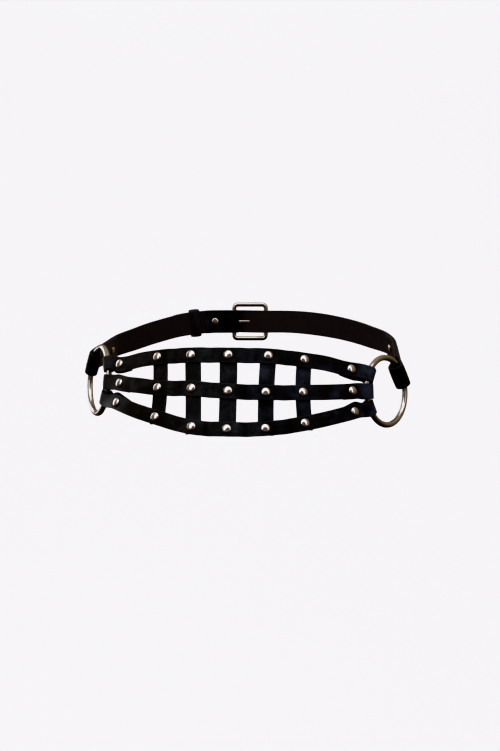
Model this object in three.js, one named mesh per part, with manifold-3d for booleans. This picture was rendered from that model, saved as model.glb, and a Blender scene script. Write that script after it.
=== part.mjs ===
// Studded leather cage belt, in the form it has when worn low round the waist.
// Units are millimetres, +Z is up, -Y is the front and +X the viewer's right.
// The origin is the centre of the waist opening, level with the middle front strap.
// Three front straps and five uprights make the studded panel. Each front strap folds
// round a steel ring at either end, and two wider straps run from the rings round the
// back to a plain buckle.
import * as THREE from 'three';
import { mergeVertices } from 'three/addons/utils/BufferGeometryUtils.js';
import Module from 'manifold-3d';

// Waist opening: round in front and flatter behind at every height, widening downwards
const WAIST_HALF_WIDTH = 116;
const FRONT_DEPTH_RATIO = 1.05;
const BACK_DEPTH_RATIO = 0.8;
const HIP_FLARE = 0.27;
const FLARE_HEIGHT = 52;
const FLARE_EASE = 16;

// Leather
const STRAP_THICKNESS = 2;
const BACK_WIDTH = 20;
const BACK_THICKNESS = 2;
const LAYER_GAP = 0.3;
const STAND_OFF = 1.7;
const WINDOW_SAG = 0.9;

// Steel rings: centre, turn of the ring's face from the front, and lean of its top
const RING_RADIUS = 27.5;
const WIRE_RADIUS = 2.5;
const rings = {
  left: { centre: [-125.4, -46.5, 8.4], turn: -70.5, lean: 3.5, side: -1 },
  right: { centre: [111.1, -83, -0.6], turn: 52.5, lean: 2.5, side: 1 },
};

// Back straps' loops round the rings: the angle round the ring, above its level, how much
// wider than the wire, how far the loop's middle lies from the wire towards the ring's
// centre, and the strap's slope as it leaves
const backLoops = {
  left: { angle: 34.5, slack: 1, ahead: 2.2, slope: 0.13, rivet: 46, tail: 54 },
  right: { angle: 32.7, slack: 2.1, ahead: 3.3, slope: 0.27, rivet: 72, tail: 80 },
};

// Studs of the panel: arc along the waist from the front, and height, in each front strap
const columns = [
  { name: 'left_end', top: [-118.3, 19.7], middle: [-117.9, 4.4], bottom: [-121.2, -11.2] },
  { name: 'first', top: [-76.4, 25.8], middle: [-75.7, 1.1], bottom: [-77.5, -22.4] },
  { name: 'second', top: [-46.5, 27.4], middle: [-45.9, 0.6], bottom: [-45.7, -30] },
  { name: 'third', top: [-16.7, 27.3], middle: [-16.9, -1.5], bottom: [-17.8, -31.6] },
  { name: 'fourth', top: [13.9, 26.6], middle: [12, -2.5], bottom: [11.7, -31.2] },
  { name: 'fifth', top: [42.5, 23.5], middle: [41.2, -2.6], bottom: [42.6, -27.2] },
  { name: 'right_end', top: [83.6, 15.4], middle: [84.7, -1.9], bottom: [87.1, -18.2] },
];

// Front straps: width, and for each end the angle round the ring, above its level, at
// which it folds, how far its tail leans upwards near the ring, how loose its loop is,
// and how far the strap arches upwards between its last two studs
const rows = [
  {
    name: 'top',
    width: 12.7,
    left: { angle: 28.5, lean: -0.9, loose: 0, arch: 0.8 },
    right: { angle: 29.2, lean: -1.8, loose: 0.7, arch: 0.8 },
  },
  {
    name: 'middle',
    width: 12.8,
    left: { angle: -3, lean: 0.8, loose: 0, arch: 0.5 },
    right: { angle: 0, lean: 0, loose: 1.1, arch: 0 },
  },
  {
    name: 'bottom',
    width: 12.2,
    left: { angle: -32.2, lean: 2, loose: 0.5, arch: -0.3 },
    right: { angle: -29.2, lean: 2, loose: 0.1, arch: 0 },
  },
];

// Uprights: width, and how far the middle lies to the right of the studs
const uprights = [
  { width: 13.7, shift: 0.4 },
  { width: 13.3, shift: 0.5 },
  { width: 14.2, shift: -0.2 },
  { width: 12.9, shift: 0.6 },
  { width: 12.7, shift: 1.1 },
];
const UPRIGHT_OVERRUN = 4.8;
const PANEL_TAIL = { left: 11, right: 7.5 };
const STUD_FLAT = 3.4;
const FOLD_PINCH = 0.09;
const FOLD_WEDGE = 0.084;
const LOOSE_SLACK = 0.5;
const LOOSE_AHEAD = 1;

// Back straps: the height at the centre of the back, the level run there, how far they
// press into the waist, and where the layers of a loop meet
const BACK_HEIGHT = 60;
const BACK_LEVEL_RUN = 25;
const BACK_SINK = 1.6;
const LOOP_BEND = 15;

// How far from its ring a taut strap leaves the waist
const LIFT_LENGTH = 38;

// Studs
const CAP_RADIUS = 3.8;
const CAP_RIM = 0.4;
const CAP_HEIGHT = 1.7;
const FLAT_CAP_HEIGHT = 0.8;
const POST_RADIUS = 1.4;
const HOLE_RADIUS = 1.85;
const REAR_CAP_RADIUS = 3.2;
const REAR_CAP_THICKNESS = 0.8;
const CAP_GAP = 0.3;
const BACK_CAP_GAP = 0.5;
const STUD_SIDES = 10;
const HOLE_SIDES = 8;

// Buckle, tongue and keeper at the centre of the back
const BUCKLE_REACH = 14;
const BUCKLE_BAR = 4;
const BUCKLE_ACROSS = 30;
const BUCKLE_CHAMFER = 1.17;
const BUCKLE_LIFT = 6.2;
const PRONG_RADIUS = 1.2;
const heelMarks = { rivet: 17, bend: 10, tail: 26 };
const TONGUE_LENGTH = 62;
const TONGUE_TIP = 13;
const KEEPER_AT = 48;
const KEEPER_BAND = 8;
const KEEPER_WALL = 1.8;

const wasm = await Module();
wasm.setup();

const leather = { color: 0x141416, roughness: 0.42, metalness: 0 };
const nickel = { color: 0xcfc8bf, roughness: 0.22, metalness: 1 };
const steel = { color: 0xb9b4ab, roughness: 0.16, metalness: 1 };

const belt = new THREE.Group();
belt.name = 'studded_belt';

// One named piece with a material of its own
function addPiece(name, geometry, look) {
  const piece = new THREE.Mesh(geometry, new THREE.MeshStandardMaterial(look));
  piece.name = name;
  belt.add(piece);
  return piece;
}

// Closed geometry to solid and back
function toSolid(geometry) {
  const bare = geometry.clone();
  bare.deleteAttribute('normal');
  bare.deleteAttribute('uv');
  const merged = mergeVertices(bare, 1e-4);
  return new wasm.Manifold(
    new wasm.Mesh({
      numProp: 3,
      vertProperties: new Float32Array(merged.attributes.position.array),
      triVerts: new Uint32Array(merged.index.array),
    }),
  );
}

function toGeometry(solid) {
  const mesh = solid.getMesh();
  const geometry = new THREE.BufferGeometry();
  geometry.setAttribute('position', new THREE.BufferAttribute(mesh.vertProperties, 3));
  geometry.setIndex(new THREE.BufferAttribute(mesh.triVerts, 1));
  geometry.computeVertexNormals();
  return geometry;
}

function cutAll(geometry, cutters) {
  let solid = toSolid(geometry);
  for (const cutter of cutters) solid = solid.subtract(toSolid(cutter));
  return toGeometry(solid);
}

// Half width of the waist at a height, and how fast it changes
function halfWidth(z) {
  const below = FLARE_HEIGHT - z;
  return WAIST_HALF_WIDTH + (HIP_FLARE * (below + Math.hypot(below, FLARE_EASE))) / 2;
}

function halfWidthSlope(z) {
  const below = FLARE_HEIGHT - z;
  return (-HIP_FLARE * (1 + below / Math.hypot(below, FLARE_EASE))) / 2;
}

const depthRatio = (angle) => (Math.cos(angle) > 0 ? FRONT_DEPTH_RATIO : BACK_DEPTH_RATIO);

// Arc of a waist one unit wide, summed from the front round to past the back
const ARC_STEPS = 900;
const ARC_STEP = (1.5 * Math.PI) / ARC_STEPS;
const unitArcs = [0];
for (let i = 1; i <= ARC_STEPS; i++) {
  const middle = (i - 0.5) * ARC_STEP;
  const rate = Math.hypot(Math.cos(middle), depthRatio(middle) * Math.sin(middle));
  unitArcs.push(unitArcs[i - 1] + rate * ARC_STEP);
}

function unitArc(angle) {
  const place = Math.min(Math.abs(angle) / ARC_STEP, ARC_STEPS - 1);
  const low = Math.floor(place);
  const arc = THREE.MathUtils.lerp(unitArcs[low], unitArcs[low + 1], place - low);
  return Math.sign(angle) * arc;
}

function angleOfArc(arc) {
  const size = Math.abs(arc);
  let low = 0;
  while (low < ARC_STEPS - 1 && unitArcs[low + 1] < size) low++;
  const part = (size - unitArcs[low]) / (unitArcs[low + 1] - unitArcs[low]);
  return Math.sign(arc) * (low + part) * ARC_STEP;
}

// Point that stands off the waist by a distance along the waist's normal
function waistNormal(angle, z) {
  const half = halfWidth(z);
  return new THREE.Vector3(
    Math.sin(angle) / half,
    -Math.cos(angle) / (depthRatio(angle) * half),
    -halfWidthSlope(z) / half,
  ).normalize();
}

function waistPoint(angle, z, offset) {
  const half = halfWidth(z);
  return new THREE.Vector3(
    half * Math.sin(angle),
    -depthRatio(angle) * half * Math.cos(angle),
    z,
  ).addScaledVector(waistNormal(angle, z), offset);
}

const angleAt = (arc, z) => angleOfArc(arc / halfWidth(z));

// Arc and height on the waist that lie nearest a point in space
function arcOfPoint(point) {
  const ratio = point.y < 0 ? FRONT_DEPTH_RATIO : BACK_DEPTH_RATIO;
  const angle = Math.atan2(point.x, -point.y / ratio);
  return [halfWidth(point.z) * unitArc(angle), point.z];
}

// Smooth height through a table of arcs and heights, with slopes from the neighbours
function heightAlong(nodes, arc) {
  const slope = (i) => {
    const a = Math.max(i - 1, 0);
    const b = Math.min(i + 1, nodes.length - 1);
    return (nodes[b][1] - nodes[a][1]) / (nodes[b][0] - nodes[a][0]);
  };
  let i = 0;
  while (i < nodes.length - 2 && nodes[i + 1][0] < arc) i++;
  const run = nodes[i + 1][0] - nodes[i][0];
  const t = (arc - nodes[i][0]) / run;
  const smooth = t * t * (3 - 2 * t);
  return (
    nodes[i][1] * (1 - smooth) +
    nodes[i + 1][1] * smooth +
    slope(i) * run * t * (1 - t) * (1 - t) -
    slope(i + 1) * run * t * t * (1 - t)
  );
}

// Flat strip swept through stations, each a point and the direction of its width:
// a box with one segment for each step, its sections carried to the stations
function ribbon(stations, width, thickness) {
  const last = stations.length - 1;
  const strip = new THREE.BoxGeometry(1, 1, 1, 1, 1, last);
  const place = strip.attributes.position;
  for (let i = 0; i < place.count; i++) {
    const k = Math.round((place.getZ(i) + 0.5) * last);
    const { point, across, part = 1, wedge = 0 } = stations[k];
    const along = stations[Math.min(k + 1, last)].point
      .clone()
      .sub(stations[Math.max(k - 1, 0)].point);
    const out = along.cross(across).normalize();
    const corner = point
      .clone()
      .addScaledVector(across, place.getX(i) * width * part * (1 - wedge * place.getY(i)))
      .addScaledVector(out, place.getY(i) * thickness);
    place.setXYZ(i, corner.x, corner.y, corner.z);
  }
  return strip;
}

// Station on a waist path: the width lies in the waist's surface, square to the path
function stationOn(path, t, step = 0.2) {
  const here = path(t);
  const ahead = path(t + step).point.sub(path(t - step).point);
  const across = here.normal.clone().cross(ahead).normalize();
  if (across.z < 0) across.negate();
  return { point: here.point, across };
}

// Axes of a ring: towards the panel, up its face, and out from the wearer
function ringAxes(ring) {
  const turn = THREE.MathUtils.degToRad(ring.turn);
  const lean = THREE.MathUtils.degToRad(ring.lean);
  const side = new THREE.Vector3(Math.cos(turn), Math.sin(turn), 0);
  const out = new THREE.Vector3(
    Math.sin(turn) * Math.cos(lean),
    -Math.cos(turn) * Math.cos(lean),
    Math.sin(lean),
  );
  return {
    centre: new THREE.Vector3(...ring.centre),
    panel: side.clone().multiplyScalar(-ring.side),
    up: out.clone().cross(side),
    out,
  };
}

// Place on a ring's wire: away is +1 towards the panel and -1 towards the back
function wirePlace(ring, angle, away) {
  const { centre, panel, up, out } = ringAxes(ring);
  const a = THREE.MathUtils.degToRad(angle);
  const radial = panel
    .clone()
    .multiplyScalar(away * Math.cos(a))
    .addScaledVector(up, Math.sin(a));
  const wire = up
    .clone()
    .multiplyScalar(Math.cos(a))
    .addScaledVector(panel, -away * Math.sin(a));
  return { centre: centre.addScaledVector(radial, RING_RADIUS), radial, wire, out };
}

// Strap end folded round a wire: from the bend on the outer layer, over the wire,
// through the ring and back to the bend on the inner layer. The wire curves inside the
// strap's width, so the fold wraps two circles, at the wire's middle and at its edges.
// Inside the ring there is less room, so that the strap is narrower and wedge-shaped there.
function foldRound(place, bar, width, thickness, outer, inner) {
  const { radial, wire, out } = place;
  const centre = place.centre.clone().addScaledVector(radial, -bar.ahead);
  const inside = (turn) => Math.max(0, -Math.cos(turn)) ** 2;
  const pinched = (turn) => 1 - bar.pinch * inside(turn);
  const reach = bar.radius + LAYER_GAP + thickness / 2;
  const bow = bar.curve ? bar.curve - Math.sqrt(bar.curve ** 2 - (width / 2) ** 2) : 0;
  const flat = (p) => {
    const from = p.clone().sub(centre);
    return [from.dot(radial), from.dot(out)];
  };
  const tangent = (p, sign) => {
    const [x, y] = flat(p);
    return Math.atan2(y, x) + sign * Math.acos(reach / Math.hypot(x, y));
  };
  const start = tangent(outer.point, 1);
  const end = tangent(inner.point, -1) + 2 * Math.PI;
  const onFold = (turn, shift) =>
    centre
      .clone()
      .addScaledVector(radial, reach * Math.cos(turn) - shift)
      .addScaledVector(out, reach * Math.sin(turn));
  const turns = [];
  const count = 8;
  for (let i = 0; i <= count; i++) turns.push(THREE.MathUtils.lerp(start, end, i / count));
  const half = Math.PI / 2;
  const points = turns.map((turn) => {
    const shift = bow * THREE.MathUtils.smoothstep(turn, half - 0.4, half + 0.4);
    return onFold(turn, shift);
  });
  const heading = (turn) =>
    radial
      .clone()
      .multiplyScalar(-Math.sin(turn))
      .addScaledVector(out, Math.cos(turn));
  const bridge = (from, fromWay, to, toWay) => {
    const pull = from.distanceTo(to) / 3;
    return new THREE.CubicBezierCurve3(
      from,
      from.clone().addScaledVector(fromWay, pull),
      to.clone().addScaledVector(toWay, -pull),
      to,
    ).getPoints(3);
  };
  const last = points[points.length - 1];
  const lead = bridge(outer.point, outer.way, points[0], heading(start)).slice(0, -1);
  const trail = bridge(last, heading(end), inner.point, inner.way).slice(1);
  const blend = (across, t) =>
    across.clone().lerp(wire, THREE.MathUtils.smoothstep(t, 0, 1)).normalize();
  return [
    ...lead.map((point, i) => ({ point, across: blend(outer.across, i / lead.length) })),
    ...points.map((point, i) => ({
      point,
      across: wire.clone(),
      part: pinched(turns[i]),
      wedge: bar.wedge * inside(turns[i]),
    })),
    ...trail.map((point, i) => ({
      point,
      across: blend(inner.across, 1 - (i + 1) / trail.length),
    })),
  ];
}

// Strap end at a ring, from its stud to the wire and back to the end of its tail.
// layer(x, inside) gives a waist path point at x from the wire, away from the ring.
function strapEnd(layer, place, bar, size, marks) {
  const outerPath = (x) => layer(x, false);
  const innerPath = (x) => layer(x, true);
  const way = (path, x, sign) =>
    path(x + 0.2).point.sub(path(x - 0.2).point).normalize().multiplyScalar(sign);
  const { rivet, bend, tail } = marks;
  const outer = { ...stationOn(outerPath, bend), way: way(outerPath, bend, -1) };
  const inner = { ...stationOn(innerPath, bend), way: way(innerPath, bend, 1) };
  const fold = foldRound(place, bar, size.width, size.thickness, outer, inner);
  const leadSteps = Math.max(1, Math.round((rivet - bend) / 6));
  const tailSteps = Math.max(3, Math.round((tail - bend) / 6));
  const lead = [];
  for (let i = 0; i < leadSteps; i++) {
    const x = THREE.MathUtils.lerp(rivet, bend, i / leadSteps);
    lead.push(stationOn(outerPath, x));
  }
  const rest = [];
  for (let i = 1; i <= tailSteps; i++) {
    const x = THREE.MathUtils.lerp(bend, tail, i / tailSteps);
    rest.push(stationOn(innerPath, x));
  }
  return [...lead, ...fold, ...rest];
}

// A taut strap rises from the waist, as a parabola, to a wire that stands off it
function liftTo(wire, inner, outer) {
  const [arc, z] = arcOfPoint(wire);
  const away = wire.distanceTo(waistPoint(angleAt(arc, z), z, 0));
  const rise = Math.max(0, away - (inner + outer) / 2);
  return (x) => rise * Math.max(0, 1 - x / LIFT_LENGTH) ** 2;
}

// Stud: domed cap, post through two layers of leather, and a flat cap behind.
// Its height runs from the middle of the outer layer, outwards.
function studGeometry(thickness, capHeight, gap) {
  const face = thickness / 2 + gap;
  const back = -(1.5 * thickness + LAYER_GAP + gap);
  const dome = capHeight - CAP_RIM;
  const profile = [
    [0, back - REAR_CAP_THICKNESS],
    [REAR_CAP_RADIUS, back - REAR_CAP_THICKNESS],
    [REAR_CAP_RADIUS, back],
    [POST_RADIUS, back],
    [POST_RADIUS, face],
    [CAP_RADIUS, face],
    [CAP_RADIUS, face + CAP_RIM],
    [CAP_RADIUS * 0.62, face + CAP_RIM + dome * 0.75],
    [0, face + capHeight],
  ];
  return new THREE.LatheGeometry(
    profile.map(([radius, height]) => new THREE.Vector2(radius, height)),
    STUD_SIDES,
  );
}

const panelStud = studGeometry(STRAP_THICKNESS, CAP_HEIGHT, CAP_GAP);
const flatStud = studGeometry(BACK_THICKNESS, FLAT_CAP_HEIGHT, BACK_CAP_GAP);

// Stud at a station of the outer layer, and the hole that it needs in the leather
function addStud(name, geometry, station, ahead) {
  const axis = ahead.clone().cross(station.across).normalize();
  if (axis.dot(new THREE.Vector3(station.point.x, station.point.y, 0)) < 0) axis.negate();
  const turn = new THREE.Quaternion().setFromUnitVectors(new THREE.Vector3(0, 1, 0), axis);
  const stud = addPiece(name, geometry, nickel);
  stud.position.copy(station.point);
  stud.quaternion.copy(turn);
  const hole = new THREE.CylinderGeometry(HOLE_RADIUS, HOLE_RADIUS, 16, HOLE_SIDES);
  hole.applyQuaternion(turn);
  hole.translate(station.point.x, station.point.y, station.point.z);
  return hole;
}

// Front straps
const INNER = STAND_OFF + STRAP_THICKNESS / 2;
const OUTER = INNER + STRAP_THICKNESS + LAYER_GAP;
const frontBar = (loose) => ({
  radius: WIRE_RADIUS + LOOSE_SLACK * loose,
  ahead: LOOSE_AHEAD * loose,
  pinch: FOLD_PINCH * (1 + loose),
  curve: RING_RADIUS,
  wedge: FOLD_WEDGE,
});
const uprightHoles = columns.map(() => []);

rows.forEach((row) => {
  const strapSize = { width: row.width, thickness: STRAP_THICKNESS };
  const places = {
    left: wirePlace(rings.left, row.left.angle, 1),
    right: wirePlace(rings.right, row.right.angle, 1),
  };
  const wires = { left: arcOfPoint(places.left.centre), right: arcOfPoint(places.right.centre) };
  const studs = columns.map((column) => column[row.name]);
  const nodes = [wires.left, ...studs, wires.right];

  // The strap sags towards the waist in each window, and is full height on an upright
  const sag = (arc) => {
    for (let i = 1; i < studs.length - 2; i++) {
      const from = studs[i][0] + 8;
      const to = studs[i + 1][0] - 8;
      const t = (arc - from) / (to - from);
      if (t > 0 && t < 1) return WINDOW_SAG * Math.sin(Math.PI * t) ** 2;
    }
    return 0;
  };
  const liftLeft = liftTo(places.left.centre, INNER, OUTER);
  const liftRight = liftTo(places.right.centre, INNER, OUTER);
  const lift = (arc) => liftLeft(arc - wires.left[0]) + liftRight(wires.right[0] - arc);
  const onStrap = (arc, z, base) => {
    const angle = angleAt(arc, z);
    return {
      point: waistPoint(angle, z, base + lift(arc) - (base === OUTER ? sag(arc) : 0)),
      normal: waistNormal(angle, z),
    };
  };
  const archAt = (arc, from, to, rise) => {
    const t = THREE.MathUtils.clamp((arc - from) / (to - from), 0, 1);
    return rise * Math.sin(Math.PI * t) ** 2;
  };
  const heightAt = (arc) =>
    heightAlong(nodes, arc) +
    archAt(arc, studs[0][0], studs[1][0], row.left.arch) +
    archAt(arc, studs[5][0], studs[6][0], row.right.arch);
  const outerPath = (arc) => onStrap(arc, heightAt(arc), OUTER);

  const endOf = (side) => {
    const sign = side === 'right' ? 1 : -1;
    const wire = wires[side];
    const stud = side === 'right' ? studs[studs.length - 1] : studs[0];
    const rivetAt = sign * (wire[0] - stud[0]);
    const marks = { rivet: rivetAt, bend: rivetAt - STUD_FLAT, tail: rivetAt + PANEL_TAIL[side] };
    const layer = (x, inside) => {
      const arc = wire[0] - sign * x;
      if (!inside) return outerPath(arc);
      const toTail = (marks.tail - x) / (marks.tail - marks.bend);
      return onStrap(arc, heightAt(arc) + row[side].lean * toTail, INNER);
    };
    return strapEnd(layer, places[side], frontBar(row[side].loose), strapSize, marks);
  };

  const middle = [];
  for (let i = 0; i < studs.length - 1; i++) {
    const steps = i === 0 || i === studs.length - 2 ? 5 : 4;
    for (let k = 0; k < steps; k++) {
      if (i === 0 && k === 0) continue;
      const arc = THREE.MathUtils.lerp(studs[i][0], studs[i + 1][0], k / steps);
      middle.push(stationOn(outerPath, arc));
    }
  }
  const holes = studs.map(([arc], i) => {
    const ahead = outerPath(arc + 0.2).point.sub(outerPath(arc - 0.2).point);
    const name = `stud_${row.name}_${i + 1}`;
    const hole = addStud(name, panelStud, stationOn(outerPath, arc), ahead);
    uprightHoles[i].push(hole);
    return hole;
  });
  const stations = [...endOf('left').reverse(), ...middle, ...endOf('right')];
  const strip = ribbon(stations, row.width, STRAP_THICKNESS);
  addPiece(`strap_${row.name}`, cutAll(strip, holes), leather);
});

// Uprights, behind the front straps
uprights.forEach(({ width, shift }, i) => {
  const column = columns[i + 1];
  const line = new THREE.SplineCurve(
    ['bottom', 'middle', 'top'].map((row) => new THREE.Vector2(...column[row])),
  );
  const over = UPRIGHT_OVERRUN / line.getLength();
  const path = (t) => {
    const inside = THREE.MathUtils.clamp(t, 0, 1);
    const on = line.getPointAt(inside);
    on.addScaledVector(line.getTangentAt(inside), (t - inside) * line.getLength());
    const angle = angleAt(on.x + shift, on.y);
    return { point: waistPoint(angle, on.y, INNER), normal: waistNormal(angle, on.y) };
  };
  const stations = [];
  const steps = 6;
  for (let k = 0; k <= steps; k++) {
    const t = THREE.MathUtils.lerp(-over, 1 + over, k / steps);
    const here = path(t);
    const along = path(t + 0.01).point.sub(path(t - 0.01).point);
    stations.push({ point: here.point, across: along.cross(here.normal).normalize() });
  }
  const strip = ribbon(stations, width, STRAP_THICKNESS);
  addPiece(`upright_${i + 1}`, cutAll(strip, uprightHoles[i + 1]), leather);
});

// Rings
for (const [name, ring] of Object.entries(rings)) {
  const { centre, up, out } = ringAxes(ring);
  const wire = new THREE.TorusGeometry(RING_RADIUS, WIRE_RADIUS, 10, 36);
  const piece = addPiece(`ring_${name}`, wire, steel);
  piece.quaternion.setFromRotationMatrix(
    new THREE.Matrix4().makeBasis(up.clone().cross(out), up, out),
  );
  piece.position.copy(centre);
}

// Back straps: each climbs from its ring and runs level at the centre of the back
const BACK_INNER = STAND_OFF + BACK_THICKNESS / 2;
const BACK_OUTER = BACK_INNER + BACK_THICKNESS + LAYER_GAP;
const backSize = { width: BACK_WIDTH, thickness: BACK_THICKNESS };
const BACK_ARC = unitArc(Math.PI);
const backHalf = halfWidth(BACK_HEIGHT);

// Offset of a back strap's outer layer: over its tail, then down to the waist
function settle(x, tailAt, run) {
  return THREE.MathUtils.lerp(
    BACK_OUTER,
    BACK_INNER,
    THREE.MathUtils.smoothstep(x, tailAt + 3, tailAt + 3 + run),
  );
}

// Height and depth of a back strap change as cubics from its ring to the level run
function backRoute(side) {
  const ring = rings[side];
  const loop = backLoops[side];
  const place = wirePlace(ring, loop.angle, -1);
  const [arc, z] = arcOfPoint(place.centre);
  const from = Math.abs(arc) / halfWidth(z);
  const length = (BACK_ARC - from) * backHalf;
  const lift = liftTo(place.centre, BACK_INNER, BACK_OUTER);
  const level = length - BACK_LEVEL_RUN;
  const route = (x, offset) => {
    const t = THREE.MathUtils.clamp(x / level, 0, 1);
    const start = z + loop.slope * (Math.min(x, 0) + level * t * (1 - t) ** 2);
    const height = start + (BACK_HEIGHT - z) * t * t * (3 - 2 * t);
    const sink = BACK_SINK * THREE.MathUtils.smoothstep(x, 10, 45);
    const angle = ring.side * angleOfArc(from + x / backHalf);
    return {
      point: waistPoint(angle, height, offset + lift(x) - sink),
      normal: waistNormal(angle, height),
    };
  };
  const bar = { radius: WIRE_RADIUS + loop.slack, ahead: loop.ahead, curve: 0, pinch: 0, wedge: 0 };
  const marks = { rivet: loop.rivet, bend: LOOP_BEND, tail: loop.tail };
  return { place, length, route, bar, marks };
}

function backEnd({ place, route, bar, marks }) {
  const layer = (x, inside) => route(x, inside ? BACK_INNER : settle(x, marks.tail, 25));
  return strapEnd(layer, place, bar, backSize, marks);
}

const leftBack = backRoute('left');
const rightBack = backRoute('right');

// Frame of the buckle, at the centre of the back: the way that the tongue runs, up, and
// outwards from the wearer
const backOut = waistNormal(Math.PI, BACK_HEIGHT);
const backWay = new THREE.Vector3(-1, 0, 0);
const backUp = backOut.clone().cross(backWay);
const backFrame = new THREE.Matrix4()
  .makeBasis(backWay, backUp, backOut)
  .setPosition(waistPoint(Math.PI, BACK_HEIGHT, -BACK_SINK));

// Prong: a round pin from the heel bar over the front bar
function prong(radius) {
  const heel = new THREE.Vector3(BUCKLE_REACH, 0, BUCKLE_LIFT + 0.9);
  const tip = new THREE.Vector3(-BUCKLE_REACH - 3, 0, BUCKLE_LIFT + 3.5);
  const pin = new THREE.CylinderGeometry(radius, radius, heel.distanceTo(tip), 10);
  const way = tip.clone().sub(heel).normalize();
  pin.applyQuaternion(
    new THREE.Quaternion().setFromUnitVectors(new THREE.Vector3(0, 1, 0), way),
  );
  pin.translate(...heel.clone().lerp(tip, 0.5).toArray());
  return pin.applyMatrix4(backFrame);
}

function roundedBox(path, halfLong, halfWide, radius) {
  path.moveTo(-halfLong + radius, -halfWide);
  path.absarc(halfLong - radius, -halfWide + radius, radius, -Math.PI / 2, 0);
  path.absarc(halfLong - radius, halfWide - radius, radius, 0, Math.PI / 2);
  path.absarc(-halfLong + radius, halfWide - radius, radius, Math.PI / 2, Math.PI);
  path.absarc(-halfLong + radius, -halfWide + radius, radius, Math.PI, 1.5 * Math.PI);
  path.closePath();
  return path;
}

const halfBar = BUCKLE_BAR / 2;
const outline = roundedBox(
  new THREE.Shape(),
  BUCKLE_REACH + halfBar,
  BUCKLE_ACROSS / 2 + halfBar,
  4,
);
outline.holes.push(
  roundedBox(new THREE.Path(), BUCKLE_REACH - halfBar, BUCKLE_ACROSS / 2 - halfBar, 1.5),
);
const frameDepth = BUCKLE_BAR - 2 * BUCKLE_CHAMFER;
const frame = new THREE.ExtrudeGeometry(outline, {
  depth: frameDepth,
  bevelThickness: BUCKLE_CHAMFER,
  bevelSize: BUCKLE_CHAMFER,
  bevelOffset: -BUCKLE_CHAMFER,
  bevelSegments: 1,
  curveSegments: 2,
});
frame.translate(0, 0, BUCKLE_LIFT - frameDepth / 2);
frame.applyMatrix4(backFrame);
addPiece('buckle', toGeometry(toSolid(frame).add(toSolid(prong(PRONG_RADIUS)))), steel);
const prongRoom = prong(PRONG_RADIUS + 0.35);

// Buckle strap: from the left ring to a fold round the heel bar
const heelAt = leftBack.length - BUCKLE_REACH;
const buckleSide = (q) =>
  THREE.MathUtils.lerp(BACK_OUTER, BACK_INNER, THREE.MathUtils.smoothstep(q, 45, 68));
const buckleLayer = (q, inside) =>
  leftBack.route(heelAt - q, inside ? BACK_INNER : buckleSide(q));
const heel = {
  centre: new THREE.Vector3(BUCKLE_REACH, 0, BUCKLE_LIFT).applyMatrix4(backFrame),
  radial: backWay,
  wire: backUp,
  out: backOut,
};
const heelBar = { radius: halfBar + 0.1, ahead: 0, curve: 0, pinch: 0, wedge: 0 };

function leftStrapStations() {
  const outerPath = (x) =>
    leftBack.route(x, Math.max(settle(x, leftBack.marks.tail, 25), buckleSide(heelAt - x)));
  const stations = backEnd(leftBack).reverse();
  const from = leftBack.marks.rivet;
  const to = heelAt - heelMarks.rivet;
  const steps = Math.round((to - from) / 8);
  for (let k = 1; k < steps; k++) {
    stations.push(stationOn(outerPath, THREE.MathUtils.lerp(from, to, k / steps)));
  }
  return [...stations, ...strapEnd(buckleLayer, heel, heelBar, backSize, heelMarks)];
}

// Tongue strap: from the right ring, under the front bar, up through the buckle, over the
// heel bar and the buckle strap, and through the keeper
const TONGUE_REST = BACK_OUTER + BACK_THICKNESS + LAYER_GAP;
const tongueRise = [
  { past: -40, offset: BACK_INNER },
  { past: -11, offset: BACK_INNER },
  { past: 12, offset: 13.9 },
  { past: 17, offset: 13.9 },
  { past: 28, offset: 10.4 },
  { past: 36, offset: 10.2 },
  { past: 42, offset: TONGUE_REST },
  { past: 58, offset: TONGUE_REST },
  { past: 80, offset: TONGUE_REST - 1.5 },
];

function tongueOffset(past) {
  let i = 0;
  while (i < tongueRise.length - 2 && tongueRise[i + 1].past < past) i++;
  const from = tongueRise[i];
  const to = tongueRise[i + 1];
  const t = THREE.MathUtils.clamp((past - from.past) / (to.past - from.past), 0, 1);
  return THREE.MathUtils.lerp(from.offset, to.offset, t);
}

// Past the centre of the back the tongue keeps to the buckle strap's line
function tonguePath(past) {
  if (past > 0) return leftBack.route(leftBack.length - past, tongueOffset(past));
  const x = rightBack.length + past;
  const offset = past < -40 ? settle(x, rightBack.marks.tail, 25) : tongueOffset(past);
  return rightBack.route(x, offset);
}

function rightStrapStations() {
  const stations = backEnd(rightBack).reverse();
  const from = rightBack.marks.rivet - rightBack.length;
  const to = -30;
  const steps = Math.round((to - from) / 8);
  for (let k = 1; k <= steps; k++) {
    stations.push(stationOn(tonguePath, THREE.MathUtils.lerp(from, to, k / steps)));
  }
  for (const past of [-20, -11, -5.5, 0, 6, 12, 14.5, 17, 22, 28, 36, 42, 50, 58]) {
    stations.push(stationOn(tonguePath, past));
  }
  const end = BUCKLE_REACH + TONGUE_LENGTH;
  for (const left of [1, 0.8, 0.5, 0.25, 0.08]) {
    const part = Math.sqrt(1 - (1 - left) ** 2);
    stations.push({ ...stationOn(tonguePath, end - TONGUE_TIP * left), part });
  }
  return stations;
}

// Studs that hold the folds of the back straps
function backHole(name, geometry, side, x) {
  const path = (t) => side.route(t, BACK_OUTER);
  const ahead = path(x + 0.2).point.sub(path(x - 0.2).point);
  return addStud(name, geometry, stationOn(path, x), ahead);
}

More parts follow.
